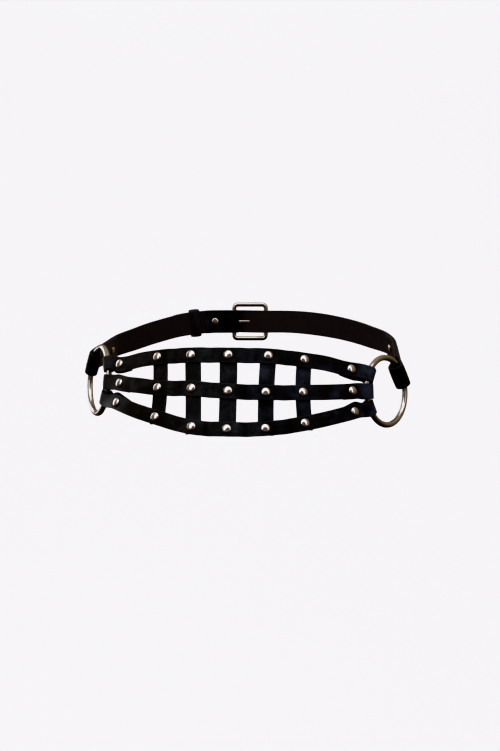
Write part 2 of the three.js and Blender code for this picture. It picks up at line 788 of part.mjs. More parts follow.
const leftHoles = [
  backHole('stud_back_left', flatStud, leftBack, leftBack.marks.rivet),
  backHole('stud_buckle', flatStud, leftBack, heelAt - heelMarks.rivet),
  prongRoom,
];
const rightHoles = [
  backHole('stud_back_right', flatStud, rightBack, rightBack.marks.rivet),
  prongRoom,
];
const leftStrip = ribbon(leftStrapStations(), BACK_WIDTH, BACK_THICKNESS);
const rightStrip = ribbon(rightStrapStations(), BACK_WIDTH, BACK_THICKNESS);
addPiece('back_strap_left', cutAll(leftStrip, leftHoles), leather);
addPiece('back_strap_right', cutAll(rightStrip, rightHoles), leather);

// Keeper: a leather band round the buckle strap and the tongue
const keeperHigh = 2 * BACK_THICKNESS + 3 * LAYER_GAP + 0.4;
const keeperWide = BACK_WIDTH + 1;
const band = roundedBox(
  new THREE.Shape(),
  keeperWide / 2 + KEEPER_WALL,
  keeperHigh / 2 + KEEPER_WALL,
  1.5,
);
band.holes.push(roundedBox(new THREE.Path(), keeperWide / 2, keeperHigh / 2, 0.4));
const keeper = new THREE.ExtrudeGeometry(band, {
  depth: KEEPER_BAND,
  bevelEnabled: false,
  curveSegments: 2,
});
keeper.translate(0, 0, -KEEPER_BAND / 2);
const keeperPath = (past) =>
  leftBack.route(leftBack.length - past, (BACK_OUTER + TONGUE_REST) / 2);
const keeperSpot = stationOn(keeperPath, KEEPER_AT);
const keeperWay = keeperPath(KEEPER_AT + 0.2).point
  .sub(keeperPath(KEEPER_AT - 0.2).point)
  .normalize();
const keeperOut = keeperWay.clone().cross(keeperSpot.across);
keeper.applyMatrix4(
  new THREE.Matrix4()
    .makeBasis(keeperSpot.across, keeperOut, keeperWay)
    .setPosition(keeperSpot.point),
);
addPiece('keeper', keeper, leather);

export default belt;
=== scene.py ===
# %% [markdown]
# # A belt of studded leather straps
# Three narrow front straps lie over five uprights, and domed rivets hold every crossing.
# Each front strap folds round a steel ring at either side, and two wider straps run from
# the rings round the back to a buckle. The scene dresses the fixed frame of solids with
# finer surfaces that keep the same sizes, so the numbers below are the belt's own.

# %% Load the fixed frame
import math

import bpy
import numpy as np
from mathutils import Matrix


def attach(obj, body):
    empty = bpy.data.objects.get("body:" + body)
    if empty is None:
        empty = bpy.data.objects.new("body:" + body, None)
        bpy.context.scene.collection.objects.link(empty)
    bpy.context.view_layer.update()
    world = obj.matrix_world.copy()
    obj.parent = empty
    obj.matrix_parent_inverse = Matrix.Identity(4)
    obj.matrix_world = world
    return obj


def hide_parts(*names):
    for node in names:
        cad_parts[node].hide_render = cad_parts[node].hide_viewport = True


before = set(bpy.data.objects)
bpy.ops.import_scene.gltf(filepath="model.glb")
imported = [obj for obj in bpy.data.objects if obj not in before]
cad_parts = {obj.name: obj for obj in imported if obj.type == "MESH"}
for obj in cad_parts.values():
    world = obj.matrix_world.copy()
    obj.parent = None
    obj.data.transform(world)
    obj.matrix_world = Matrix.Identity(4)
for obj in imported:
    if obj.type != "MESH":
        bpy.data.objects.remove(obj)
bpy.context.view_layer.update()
MM = 0.001

# %% [markdown]
# ## Camera
# A long lens from 2.2 m away, level with the middle of the picture, gives the flat look
# of the photograph. A level camera also keeps the rings' tilt honest. The lens length is
# worked out from how many millimetres one pixel covers at the belt.

# %% Aim the camera
def put(name, data):
    """A new object in the scene, from a mesh, a light or a camera."""
    made = bpy.data.objects.new(name, data)
    bpy.context.scene.collection.objects.link(made)
    return made


CAMERA_DISTANCE = 2200
CAMERA_HEIGHT = 12.3
FOCAL_PIXELS = 2588
PICTURE_HIGH = 751
SENSOR = 36

lens = bpy.data.cameras.new("camera")
lens.sensor_width = SENSOR
lens.lens = SENSOR * FOCAL_PIXELS / PICTURE_HIGH
camera = put("camera", lens)
camera.location = (0, -CAMERA_DISTANCE * MM, CAMERA_HEIGHT * MM)
camera.rotation_euler = (math.radians(90), 0, 0)
bpy.context.scene.camera = camera
print("lens in mm:", round(lens.lens, 1))

# %% [markdown]
# ## The waist that gives the belt its shape
# A worn belt has no shape of its own: it takes that of the waist and hip. A simple model
# of these is half an ellipse in front and a flatter half behind, at every height, and it
# widens downwards. Each strap is then a line of arc lengths and heights on that surface,
# as a maker would measure it with a tape.

# %% The waist's surface
WAIST_HALF_WIDTH = 116
FRONT_DEPTH_RATIO = 1.05
BACK_DEPTH_RATIO = 0.8
HIP_FLARE = 0.27
FLARE_HEIGHT = 52
FLARE_EASE = 16


def depth_ratio(angle):
    """Depth of the waist over its width: one number in front and another behind."""
    return np.where(np.cos(angle) > 0, FRONT_DEPTH_RATIO, BACK_DEPTH_RATIO)


turns = np.linspace(0, 1.5 * np.pi, 1201)
turn_middles = (turns[1:] + turns[:-1]) / 2
turn_rates = np.hypot(np.cos(turn_middles), depth_ratio(turn_middles) * np.sin(turn_middles))
unit_arcs = np.concatenate([[0], np.cumsum(turn_rates * np.diff(turns))])


def half_width(z):
    """Half the waist's width at height z: constant high up, a straight flare low down."""
    below = FLARE_HEIGHT - np.asarray(z, float)
    return WAIST_HALF_WIDTH + HIP_FLARE * (below + np.hypot(below, FLARE_EASE)) / 2


def half_width_slope(z):
    """How fast the half width changes with height."""
    below = FLARE_HEIGHT - np.asarray(z, float)
    return -HIP_FLARE * (1 + below / np.hypot(below, FLARE_EASE)) / 2


def unit_arc(angle):
    """Arc length from the front to an angle, on an ellipse of half width one."""
    return np.sign(angle) * np.interp(np.abs(angle), turns, unit_arcs)


def angle_of_arc(arc):
    """The angle at which a unit ellipse has that arc length from the front."""
    return np.sign(arc) * np.interp(np.abs(arc), unit_arcs, turns)


def unit(vectors):
    """Vectors scaled to length one."""
    return vectors / np.linalg.norm(vectors, axis=-1, keepdims=True)


def run_length(points):
    """Length along a line of points, from zero at the first one."""
    return np.append(0, np.cumsum(np.linalg.norm(np.diff(points, axis=0), axis=1)))


def full_turn(sides):
    """Even angles once round."""
    return np.arange(sides) * 2 * np.pi / sides


def circle(angle, first, second):
    """Points of a unit circle: cos(angle)*first + sin(angle)*second."""
    return np.cos(angle)[..., None] * first + np.sin(angle)[..., None] * second


def waist(angle, z, offset):
    """Points that stand off the waist by an offset, and the waist's normals there.

    The ellipse is half*sin(angle), -ratio*half*cos(angle); its normal is the gradient of
    (x/half)^2 + (y/(ratio*half))^2 with the flare's slope as the upward part.
    """
    angle, z, offset = np.broadcast_arrays(*(np.asarray(v, float) for v in (angle, z, offset)))
    half = half_width(z)
    sine, cosine, ratio = np.sin(angle), np.cos(angle), depth_ratio(angle)
    normal = unit(np.stack([sine, -cosine / ratio, -half_width_slope(z)], -1))
    on = np.stack([half * sine, -ratio * half * cosine, z], -1)
    return on + normal * offset[..., None], normal


def waist_at(arc, z, offset):
    """The same points and normals, for an arc length from the front at height z."""
    return waist(angle_of_arc(arc / half_width(z)), z, offset)


def arc_of(point):
    """Arc and height on the waist nearest to a point."""
    ratio = FRONT_DEPTH_RATIO if point[1] < 0 else BACK_DEPTH_RATIO
    angle = math.atan2(point[0], -point[1] / ratio)
    return float(half_width(point[2]) * unit_arc(angle)), float(point[2])


print("round the waist in mm:", round(float(2 * half_width(20) * unit_arc(np.pi))))

# %% [markdown]
# ## Sizes of the straps, rivets and rings
# The rows and columns are the rivets of the panel, as arcs and heights in millimetres.
# The straps' leather is 2 mm thick, which is what folds round a 5 mm wire without
# cracking. Each end turns round its ring at an angle that the tables give. The front
# straps' loops are tight or nearly so; those of the back straps hang open, as their ends
# carry no weight beside the wire.

# %% The belt's own numbers
STRAP_THICKNESS = 2
BACK_WIDTH = 20
BACK_THICKNESS = 2
LAYER_GAP = 0.3
STAND_OFF = 1.7
WINDOW_SAG = 0.9
RING_RADIUS = 27.5
WIRE_RADIUS = 2.5

rings = {
    "left": {"centre": (-125.4, -46.5, 8.4), "turn": -70.5, "lean": 3.5, "side": -1},
    "right": {"centre": (111.1, -83, -0.6), "turn": 52.5, "lean": 2.5, "side": 1},
}
studs = {
    "top": [(-118.3, 19.7), (-76.4, 25.8), (-46.5, 27.4), (-16.7, 27.3), (13.9, 26.6),
            (42.5, 23.5), (83.6, 15.4)],
    "middle": [(-117.9, 4.4), (-75.7, 1.1), (-45.9, 0.6), (-16.9, -1.5), (12, -2.5),
               (41.2, -2.6), (84.7, -1.9)],
    "bottom": [(-121.2, -11.2), (-77.5, -22.4), (-45.7, -30), (-17.8, -31.6), (11.7, -31.2),
               (42.6, -27.2), (87.1, -18.2)],
}
rows = [
    {"name": "top", "width": 12.7,
     "left": {"angle": 28.5, "lean": -0.9, "loose": 0, "arch": 0.8},
     "right": {"angle": 29.2, "lean": -1.8, "loose": 0.7, "arch": 0.8}},
    {"name": "middle", "width": 12.8,
     "left": {"angle": -3, "lean": 0.8, "loose": 0, "arch": 0.5},
     "right": {"angle": 0, "lean": 0, "loose": 1.1, "arch": 0}},
    {"name": "bottom", "width": 12.2,
     "left": {"angle": -32.2, "lean": 2, "loose": 0.5, "arch": -0.3},
     "right": {"angle": -29.2, "lean": 2, "loose": 0.1, "arch": 0}},
]
back_loops = {
    "left": {"angle": 34.5, "slack": 1, "ahead": 2.2, "slope": 0.13, "rivet": 46, "tail": 54},
    "right": {"angle": 32.7, "slack": 2.1, "ahead": 3.3, "slope": 0.27, "rivet": 72, "tail": 80},
}
uprights = [
    {"width": 13.7, "shift": 0.4},
    {"width": 13.3, "shift": 0.5},
    {"width": 14.2, "shift": -0.2},
    {"width": 12.9, "shift": 0.6},
    {"width": 12.7, "shift": 1.1},
]
UPRIGHT_OVERRUN = 4.8
PANEL_TAIL = {"left": 11, "right": 7.5}
STUD_FLAT = 3.4
FOLD_PINCH = 0.09
FOLD_WEDGE = 0.084
LOOSE_SLACK = 0.5
LOOSE_AHEAD = 1
LIFT_LENGTH = 38
print(sum(len(row) for row in studs.values()), "rivets in the panel")

# %% [markdown]
# ## Materials
# The leather is chrome-tanned cowhide, dyed through and finished with a black pigment
# and a thin clear top coat: almost black, with a soft sheen and a faint grain. Its cut
# edges are dyed and duller, and its flesh side is a matt nap. The rivets are stamped
# caps with bright nickel plate, and the rings are polished wire.
#
# One helper adds a node with its inputs, and a second gives inputs to one that exists, so
# that each material reads as a list of what the surface is made of.


# %% Node helper and colours
def linear(hex_colour):
    """An sRGB hex colour as linear red, green, blue and alpha."""
    parts = [int(hex_colour[i:i + 2], 16) / 255 for i in (1, 3, 5)]
    return [c / 12.92 if c <= 0.04045 else ((c + 0.055) / 1.055) ** 2.4 for c in parts] + [1]


def connect(tree, node, inputs):
    """Gives a node its inputs, each a value or another node's output."""
    for key, value in inputs.items():
        if isinstance(value, bpy.types.NodeSocket):
            tree.links.new(value, node.inputs[key])
        else:
            node.inputs[key].default_value = value


def add(tree, kind, inputs=None, **settings):
    """Adds a node with its inputs; settings are its properties."""
    made = tree.nodes.new(kind)
    for key, value in settings.items():
        setattr(made, key, value)
    connect(tree, made, inputs or {})
    return made


def per_mm(size):
    """Texture scale that gives features of a size in millimetres."""
    return 1 / (size * MM)


def start_material(name):
    """A material with a bare tree: its tree, shader and Object coordinates."""
    material = bpy.data.materials.new(name)
    material.use_nodes = True
    tree = material.node_tree
    tree.nodes.clear()
    shader = add(tree, "ShaderNodeBsdfPrincipled")
    add(tree, "ShaderNodeOutputMaterial", {"Surface": shader.outputs["BSDF"]})
    place = add(tree, "ShaderNodeTexCoord").outputs["Object"]
    return material, tree, shader, place


# %% [markdown]
# ### Finished black cowhide
# Pigment hides the hide's colour, but not its pores: cells of about 0.8 mm give the
# grain. Paler patches are painted sheen: the black is lifted to a dull grey, a little
# bluer to the right, as where the top coat would catch the light. Slow noise says where,
# noise drawn out along the strap breaks it into streaks, and the ends by the rings have
# more of the painted sheen. The loops round the wire stay black.


# %% Leather, grain side
PANEL_MIDDLE = -8
# More painted sheen on the strap ends near the rings, and none on the loops round the wire.
END_SHEEN = {"from": 92, "to": 108, "change": 0.22}
LOOP_NO_SHEEN = {"from": 116, "to": 123, "change": -0.4}


def finished_cowhide():
    """Black pigment over pores, with painted sheen patches, and a thin coat whose gloss wanders
    slowly.
    """
    material, tree, shader, place = start_material("finished_cowhide")
    # Slow noise: where the gloss wanders, and where the painted sheen lies.
    gloss_and_sheen = add(tree, "ShaderNodeTexNoise",
                  {"Vector": place, "W": 1.0, "Scale": per_mm(14), "Detail": 4,
                   "Roughness": 0.6}, noise_dimensions="4D")
    across = add(tree, "ShaderNodeSeparateXYZ", {"Vector": place})
    aside = add(tree, "ShaderNodeMath",
                {0: across.outputs["X"], 1: -PANEL_MIDDLE * MM}, operation="ADD")
    far = add(tree, "ShaderNodeMath", {0: aside.outputs[0]}, operation="ABSOLUTE")
    sheen_level = gloss_and_sheen.outputs["Fac"]
    for zone in (END_SHEEN, LOOP_NO_SHEEN):
        added = add(tree, "ShaderNodeMapRange", {
            "Value": far.outputs[0], "From Min": zone["from"] * MM,
            "From Max": zone["to"] * MM, "To Max": zone["change"]})
        sheen_level = add(tree, "ShaderNodeMath", {0: sheen_level, 1: added.outputs["Result"]},
                      operation="ADD").outputs[0]
    level = add(tree, "ShaderNodeMath", {0: across.outputs["Z"], 1: 0.1}, operation="MULTIPLY")
    lengthwise = add(tree, "ShaderNodeMapping", {
        "Vector": add(tree, "ShaderNodeTexCoord").outputs["UV"], "Scale": (0.12, 1, 1)})
    pulled = add(tree, "ShaderNodeTexNoise", {
        "Vector": lengthwise.outputs["Vector"], "W": level.outputs[0], "Scale": per_mm(1.5),
        "Detail": 4, "Roughness": 0.6}, noise_dimensions="4D")
    sheen_amount = add(tree, "ShaderNodeMath", {
        0: pulled.outputs["Fac"], 1: 0.3, 2: sheen_level}, operation="MULTIPLY_ADD")
    right = add(tree, "ShaderNodeMapRange", {
        "Value": across.outputs["X"], "From Min": -60 * MM, "From Max": 40 * MM})
    # Painted sheen: grey patches lifted on the black, bluer towards the right.
    sheen_colour = add(tree, "ShaderNodeMix", {
        "Factor": right.outputs["Result"], "A": linear("#333333"), "B": linear("#363940")},
        data_type="RGBA")
    sheen_patch = add(tree, "ShaderNodeMapRange", {
        "Value": sheen_amount.outputs[0], "From Min": 0.61, "From Max": 0.9})
    tint = add(tree, "ShaderNodeMix", {
        "Factor": sheen_patch.outputs["Result"], "A": linear("#050605"), "B": sheen_colour.outputs["Result"]},
        data_type="RGBA")
    gloss = add(tree, "ShaderNodeMapRange", {
        "Value": gloss_and_sheen.outputs["Fac"], "From Min": 0.3, "From Max": 0.7,
        "To Min": 0.36, "To Max": 0.5})
    pores = add(tree, "ShaderNodeTexVoronoi",
                {"Vector": place, "Scale": per_mm(0.8), "Randomness": 0.9},
                feature="SMOOTH_F1")
    creases = add(tree, "ShaderNodeTexNoise",
                  {"Vector": place, "Scale": per_mm(2.2), "Detail": 6, "Roughness": 0.62})
    relief = add(tree, "ShaderNodeMath",
                 {0: pores.outputs["Distance"], 1: creases.outputs["Fac"]}, operation="ADD")
    bump = add(tree, "ShaderNodeBump",
               {"Height": relief.outputs[0], "Strength": 0.35, "Distance": 0.00012})
    connect(tree, shader, {
        "Base Color": tint.outputs["Result"], "Roughness": gloss.outputs["Result"],
        "Normal": bump.outputs["Normal"], "IOR": 1.42, "Specular IOR Level": 0.25})
    return material


# %% [markdown]
# ### Cut edges and flesh side
# A knife leaves the edge open and fibrous, and edge dye makes it a flat black. The flesh
# side is the fibre itself: short nap in all directions, so its sheen is weak and broad.


# %% Leather, edges and flesh side
def bare_leather(name, dark, light, fibre, roughness, depth):
    """Open leather fibre: fine noise drives its colour and its relief."""
    material, tree, shader, place = start_material(name)
    nap = add(tree, "ShaderNodeTexNoise",
              {"Vector": place, "Scale": per_mm(fibre), "Detail": 8, "Roughness": 0.7})
    tint = add(tree, "ShaderNodeValToRGB", {"Fac": nap.outputs["Fac"]})
    for stop, position, colour in zip(tint.color_ramp.elements, (0.3, 0.75), (dark, light)):
        stop.position, stop.color = position, linear(colour)
    bump = add(tree, "ShaderNodeBump",
               {"Height": nap.outputs["Fac"], "Strength": 0.6, "Distance": depth * MM})
    connect(tree, shader, {
        "Base Color": tint.outputs["Color"], "Normal": bump.outputs["Normal"],
        "Roughness": roughness, "IOR": 1.5})
    return material


# %% [markdown]
# ### Nickel plate and polished wire
# Nickel is a warm, slightly yellow white metal. Neither a stamped cap nor a bent and
# polished wire is ever quite smooth, so a low, slow relief bends what they mirror a little.


# %% Metals
def bright_metal(name, colour, roughness, ripple, ripple_depth):
    """Polished metal: its colour, and a slow ripple in relief and gloss."""
    material, tree, shader, place = start_material(name)
    wave = add(tree, "ShaderNodeTexNoise",
               {"Vector": place, "Scale": per_mm(ripple), "Detail": 3, "Roughness": 0.5})
    gloss = add(tree, "ShaderNodeMapRange", {
        "Value": wave.outputs["Fac"], "From Min": 0.3, "From Max": 0.7,
        "To Min": roughness * 0.75, "To Max": roughness * 1.35})
    bump = add(tree, "ShaderNodeBump", {
        "Height": wave.outputs["Fac"], "Strength": 0.5, "Distance": ripple_depth * MM})
    connect(tree, shader, {
        "Roughness": gloss.outputs["Result"], "Normal": bump.outputs["Normal"],
        "Base Color": linear(colour), "Metallic": 1})
    return material


grain = finished_cowhide()
edge = bare_leather("edge_dyed_leather", "#0c0b0c", "#1b1a1b", 0.5, 0.6, 0.05)
flesh = bare_leather("flesh_side_leather", "#161414", "#2a2727", 0.35, 0.9, 0.12)
nickel = bright_metal("nickel_plated_cap", "#dedbd7", 0.12, 4, 0.004)
wire_steel = bright_metal("polished_ring_wire", "#c6c2bb", 0.12, 6, 0.004)
LEATHERS = [grain, edge, flesh]
print("materials:", [m.name for m in bpy.data.materials if m.users == 0])

# %% [markdown]
# ## Surfaces from grids
# Every piece here is a closed outline carried along a line, so one function turns a grid
# of points into a mesh. Columns run round the outline and rows along the line. Rows
# either close on themselves, as on a ring, or end in a cap that fans to its middle.


# %% Grid to mesh
def grid_mesh(name, points, around, along, looks, column_look=None, closed=False):
    """A mesh from points[row, column, xyz] in millimetres, closed round the columns.

    around and along are the lengths that the UV map measures, in millimetres. Quads join
    neighbouring rows and columns, and each end is a fan round the middle of its row.
    """
    count, wide, _ = points.shape
    steps = count if closed else count - 1
    row, column = np.meshgrid(np.arange(steps), np.arange(wide), indexing="ij")
    after, beside = (row + 1) % count, (column + 1) % wide
    quads = np.stack(
        [row * wide + column, row * wide + beside,
         after * wide + beside, after * wide + column], -1).reshape(-1, 4)
    u = np.append(along, along[-1] + np.ptp(along) / (count - 1)) * MM
    v = np.append(around, around[-1] + np.ptp(around) / (wide - 1)) * MM
    corners = [(row, column), (row, column + 1), (row + 1, column + 1), (row + 1, column)]
    uv = np.stack([np.stack([u[i], v[j]], -1) for i, j in corners], 2).reshape(-1, 2)
    look = np.tile(np.zeros(wide, int) if column_look is None else column_look, steps)
    vertices = points.reshape(-1, 3)
    loops, starts = quads.ravel(), np.arange(len(quads)) * 4
    if not closed:
        middles = np.stack([points[0].mean(0), points[-1].mean(0)])
        vertices = np.vstack([vertices, middles])
        j = np.arange(wide)
        k = (j + 1) % wide
        first = np.stack([k, j, np.full(wide, count * wide)], -1)
        last = np.stack([j, k, np.full(wide, count * wide + 1)], -1)
        last[:, :2] += (count - 1) * wide
        fans = np.vstack([first, last])
        starts = np.concatenate([starts, len(loops) + np.arange(len(fans)) * 3])
        loops = np.concatenate([loops, fans.ravel()])
        uv = np.vstack([uv, np.tile([u[0], v[0]], (fans.size, 1))])
        look = np.append(look, np.full(len(fans), look.max() if look.max() < 2 else 1))
    mesh = bpy.data.meshes.new(name)
    mesh.vertices.add(len(vertices))
    mesh.vertices.foreach_set("co", (vertices * MM).ravel())
    mesh.loops.add(len(loops))
    mesh.loops.foreach_set("vertex_index", loops)
    mesh.polygons.add(len(starts))
    mesh.polygons.foreach_set("loop_start", starts)
    mesh.polygons.foreach_set("material_index", look)
    mesh.uv_layers.new(name="UVMap").uv.foreach_set("vector", uv.ravel())
    mesh.update(calc_edges=True)
    mesh.validate()
    mesh.shade_smooth()
    for material in looks:
        mesh.materials.append(material)
    return mesh


def place_piece(name, mesh, slot, *nodes):
    """Puts a mesh in the scene as a piece that stands for its solids."""
    piece = put(name, mesh)
    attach(piece, "root")
    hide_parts(*nodes)
    print(name, len(mesh.polygons), "faces")


# %% [markdown]
# ## A leather strap
# A strap's cross-section is a flat bar with a slight crown and rounded edges. It could be
# a box with a bevel, but an outline carried along the strap's line lets the edges pinch
# in a fold, the face dip under a rivet, and the grain, edge and flesh side each have
# their own material.

# %% Strap outline and sweep
FACE_POINTS = 19
EDGE_POINTS = 9
EDGE_ROUND = 0.7
EDGE_POWER = 0.6
CROWN = 0.22
EDGE_WANDER = 0.007
WANDER_SHORT = 9.1
WANDER_LONG = 21.7
BOW_LIMIT = 20


def strap_outline(width, thickness):
    """Closed cross-section of a strap as (across, out), and the look of each column.

    The grain face is a shallow parabola, the flesh face is flat, and each edge is half of
    a squared-off ellipse (a superellipse of power 2/EDGE_POWER) as wide as its rounding.
    """
    reach = width / 2 - EDGE_ROUND
    face = np.linspace(-reach, reach, FACE_POINTS)
    turn = np.linspace(np.pi / 2, -np.pi / 2, EDGE_POINTS + 2)[1:-1]
    high, low = thickness / 2 - CROWN, -thickness / 2
    middle, half = (high + low) / 2, (high - low) / 2
    bulge = EDGE_ROUND * np.abs(np.cos(turn)) ** EDGE_POWER
    level = middle + half * np.sign(np.sin(turn)) * np.abs(np.sin(turn)) ** EDGE_POWER
    across = np.concatenate([face, reach + bulge, face[::-1], -reach - bulge])
    out = np.concatenate([
        high + CROWN * (1 - (face / reach) ** 2), level, np.full(FACE_POINTS, low), level[::-1]])
    return across, out, np.repeat([0, 1, 2, 1], [FACE_POINTS - 1, EDGE_POINTS + 1] * 2)


def strap_piece(name, node, line, width, thickness, dents=()):
    """Carries a strap's outline along a line, as the piece that stands for a node.

    The line holds point, across, part (share of the width), wedge (how much narrower the
    grain face is than the flesh face), saddle (how far the wire that it wraps bends the
    outline) and radial. Dents are places along the line, in millimetres, where a rivet
    presses the face in by depth*exp(-(distance/spread)^4).
    """
    point, across, part = line["point"], line["across"], line["part"]
    length = run_length(point)
    ahead = unit(np.gradient(point, axis=0))
    out = unit(np.cross(ahead, across))
    a, b, look = strap_outline(width, thickness)
    waves = np.sin(length / WANDER_SHORT) + np.sin(length / WANDER_LONG + 1.3)
    wander = 1 + EDGE_WANDER * waves
    aside = a[None, :] * (part * wander)[:, None]
    aside = aside * (1 - line["wedge"][:, None] * b[None, :] / thickness)
    lift = np.repeat(b[None, :], len(point), 0)
    upper = np.clip((b + thickness / 2) / thickness, 0, 1)[None, :]
    for where, depth, spread in dents:
        away = np.hypot(length[:, None] - where, aside) / spread
        lift = lift - upper * depth * np.exp(-(away ** 4))
    bow = RING_RADIUS - np.sqrt(RING_RADIUS ** 2 - np.clip(aside, -BOW_LIMIT, BOW_LIMIT) ** 2)
    grid = (
        point[:, None]
        + across[:, None] * aside[..., None]
        + out[:, None] * lift[..., None]
        - line["radial"][:, None] * (bow * line["saddle"][:, None])[..., None]
    )
    girth = run_length(np.stack([a, b], -1))
    place_piece(name, grid_mesh(name, grid, girth, length, LEATHERS, look), "leather", node)


# %% [markdown]
# ## Lines for the straps
# A strap that ends in a fold has an outer layer, a turn round the wire, and a tail that
# lies behind. Each stretch is worked out alone and the stretches are then joined: the
# layers follow the waist, the turn is an arc round the wire, and short Bezier curves
# carry the strap from one to the other without a kink.

# %% Lines of straps
STEP = 0.2
SPACING = 0.75
FOLD_STEPS = 33
BRIDGE_STEPS = 15
TOUCH = 0.12


def stations(path, x):
    """Points of a path on the waist, and the strap's width direction there."""
    point, normal = path(x)
    ahead = path(x + STEP)[0] - path(x - STEP)[0]
    across = unit(np.cross(normal, ahead))
    return point, across * np.sign(across[..., 2:])


def spread(a, b, spacing=SPACING):
    """Even places from a to b."""
    return np.linspace(a, b, max(3, int(abs(b - a) / spacing) + 2))


def share(x, low, high):
    """Zero below low, one above high, and a straight line between."""
    return np.clip((np.asarray(x, float) - low) / (high - low), 0, 1)


def smooth(x, low, high):
    """Zero below low, one above high, and an S between: t*t*(3 - 2t)."""
    t = share(x, low, high)
    return t * t * (3 - 2 * t)


def hump(x, low, high):
    """Zero outside low to high and one halfway: sin(pi*t)^2."""
    return np.sin(np.pi * share(x, low, high)) ** 2


def flat_line(point, across):
    """A stretch of strap with nothing to wrap."""
    return {
        "point": point, "across": across, "part": np.ones(len(point)),
        "wedge": np.zeros(len(point)), "saddle": np.zeros(len(point)),
        "radial": np.zeros((len(point), 3)),
    }


def join_lines(before, middle, after=None):
    """One line from stretches that meet; the middle one keeps the stations they share."""
    return {key: np.concatenate([
        before[key][:-1], middle[key], after[key][1:] if after else middle[key][:0]])
        for key in middle}


def reverse_line(line):
    """The same line run the other way."""
    return {key: value[::-1] for key, value in line.items()}


def bridge(start, way_out, end, way_in):
    """Cubic Bezier curve between two points with given directions."""
    pull = np.linalg.norm(end - start) / 3
    t = np.linspace(0, 1, BRIDGE_STEPS)[:, None]
    return (
        (1 - t) ** 3 * start + 3 * (1 - t) ** 2 * t * (start + way_out * pull)
        + 3 * (1 - t) * t ** 2 * (end - way_in * pull) + t ** 3 * end
    )


def ring_axes(ring):
    """Centre of a ring, and its directions to the panel, up its face, and outwards."""
    turn, lean = math.radians(ring["turn"]), math.radians(ring["lean"])
    side = np.array([math.cos(turn), math.sin(turn), 0])
    out = np.array([
        math.sin(turn) * math.cos(lean), -math.cos(turn) * math.cos(lean), math.sin(lean)])
    return np.array(ring["centre"], float), -ring["side"] * side, np.cross(out, side), out


def wire_place(ring, angle, away):
    """Where a strap wraps a ring: away is 1 at the panel's side and -1 at the back's."""
    centre, panel, up, out = ring_axes(ring)
    a = math.radians(angle)
    radial = away * math.cos(a) * panel + math.sin(a) * up
    wire = math.cos(a) * up - away * math.sin(a) * panel
    return {"centre": centre + RING_RADIUS * radial, "radial": radial, "wire": wire, "out": out}


def fold_line(place, bar, thickness, outer, inner):
    """The turn of a strap round a wire, with the bridges on either side.

    The turn is a circle of the loop's radius plus half the leather, from the tangent of
    the outer layer to the tangent of the inner one. Its middle lies ahead of the wire, by
    a loose loop's play. The saddle is how far the strap's edges follow the wire's own
    bend. The pinch narrows it inside the ring, and the wedge narrows its face more than
    its back. All three are zero where the bar doesn't give them.
    """
    bar = {"pinch": 0, "wedge": 0, "saddle": 0, **bar}
    radial, wire, out = (place[key] for key in ("radial", "wire", "out"))
    centre = place["centre"] - radial * bar["ahead"]
    reach = bar["radius"] + TOUCH + thickness / 2

    def tangent(point, sign):
        x, y = (point - centre) @ radial, (point - centre) @ out
        return math.atan2(y, x) + sign * math.acos(reach / math.hypot(x, y))

    def heading(turn):
        return -math.sin(turn) * radial + math.cos(turn) * out

    start = tangent(outer["point"], 1)
    end = tangent(inner["point"], -1) + 2 * math.pi
    turn = np.linspace(start, end, FOLD_STEPS)
    arc = centre + reach * circle(turn, radial, out)
    inside = np.clip(-np.cos(turn), 0, 1)
    wrap = {
        "point": arc,
        "across": np.repeat(wire[None], FOLD_STEPS, 0),
        "part": 1 - bar["pinch"] * inside ** 2,
        "wedge": bar["wedge"] * inside ** 2,
        "saddle": bar["saddle"] * smooth(inside, 0, 0.8),
        "radial": np.repeat(radial[None], FOLD_STEPS, 0),
    }
    ease = smooth(np.linspace(0, 1, BRIDGE_STEPS), 0, 1)[:, None]
    lead = flat_line(
        bridge(outer["point"], outer["way"], arc[0], heading(start)),
        unit(outer["across"] * (1 - ease) + wire * ease))
    trail = flat_line(
        bridge(arc[-1], heading(end), inner["point"], inner["way"]),
        unit(wire * (1 - ease) + inner["across"] * ease))
    return join_lines(lead, wrap, trail)


def strap_end(layer, place, bar, thickness, marks):
    """A strap's end: its outer layer from the rivet, the fold, and the tail behind."""
    def edge_of(inside, sign):
        x = np.array([marks["bend"]], float)
        point, across = stations(lambda v: layer(v, inside), x)
        ahead = layer(x + STEP, inside)[0] - layer(x - STEP, inside)[0]
        return {"point": point[0], "across": across[0], "way": sign * unit(ahead)[0]}

    lead = flat_line(*stations(
        lambda v: layer(v, False), spread(marks["rivet"], marks["bend"])))
    fold = fold_line(place, bar, thickness, edge_of(False, -1), edge_of(True, 1))
    rest = flat_line(*stations(
        lambda v: layer(v, True), spread(marks["bend"], marks["tail"])))
    return join_lines(lead, fold, rest)


def lift_to(wire, inner, outer):
    """How far a taut strap stands off the waist at x from its wire.

    A parabola that rises from zero to the wire's own distance beyond the strap's layers.
    """
    arc, z = arc_of(wire)
    foot = waist_at(arc, z, 0)[0]
    rise = max(0, np.linalg.norm(wire - foot) - (inner + outer) / 2)
    return lambda x: rise * np.clip(1 - x / LIFT_LENGTH, 0, None) ** 2


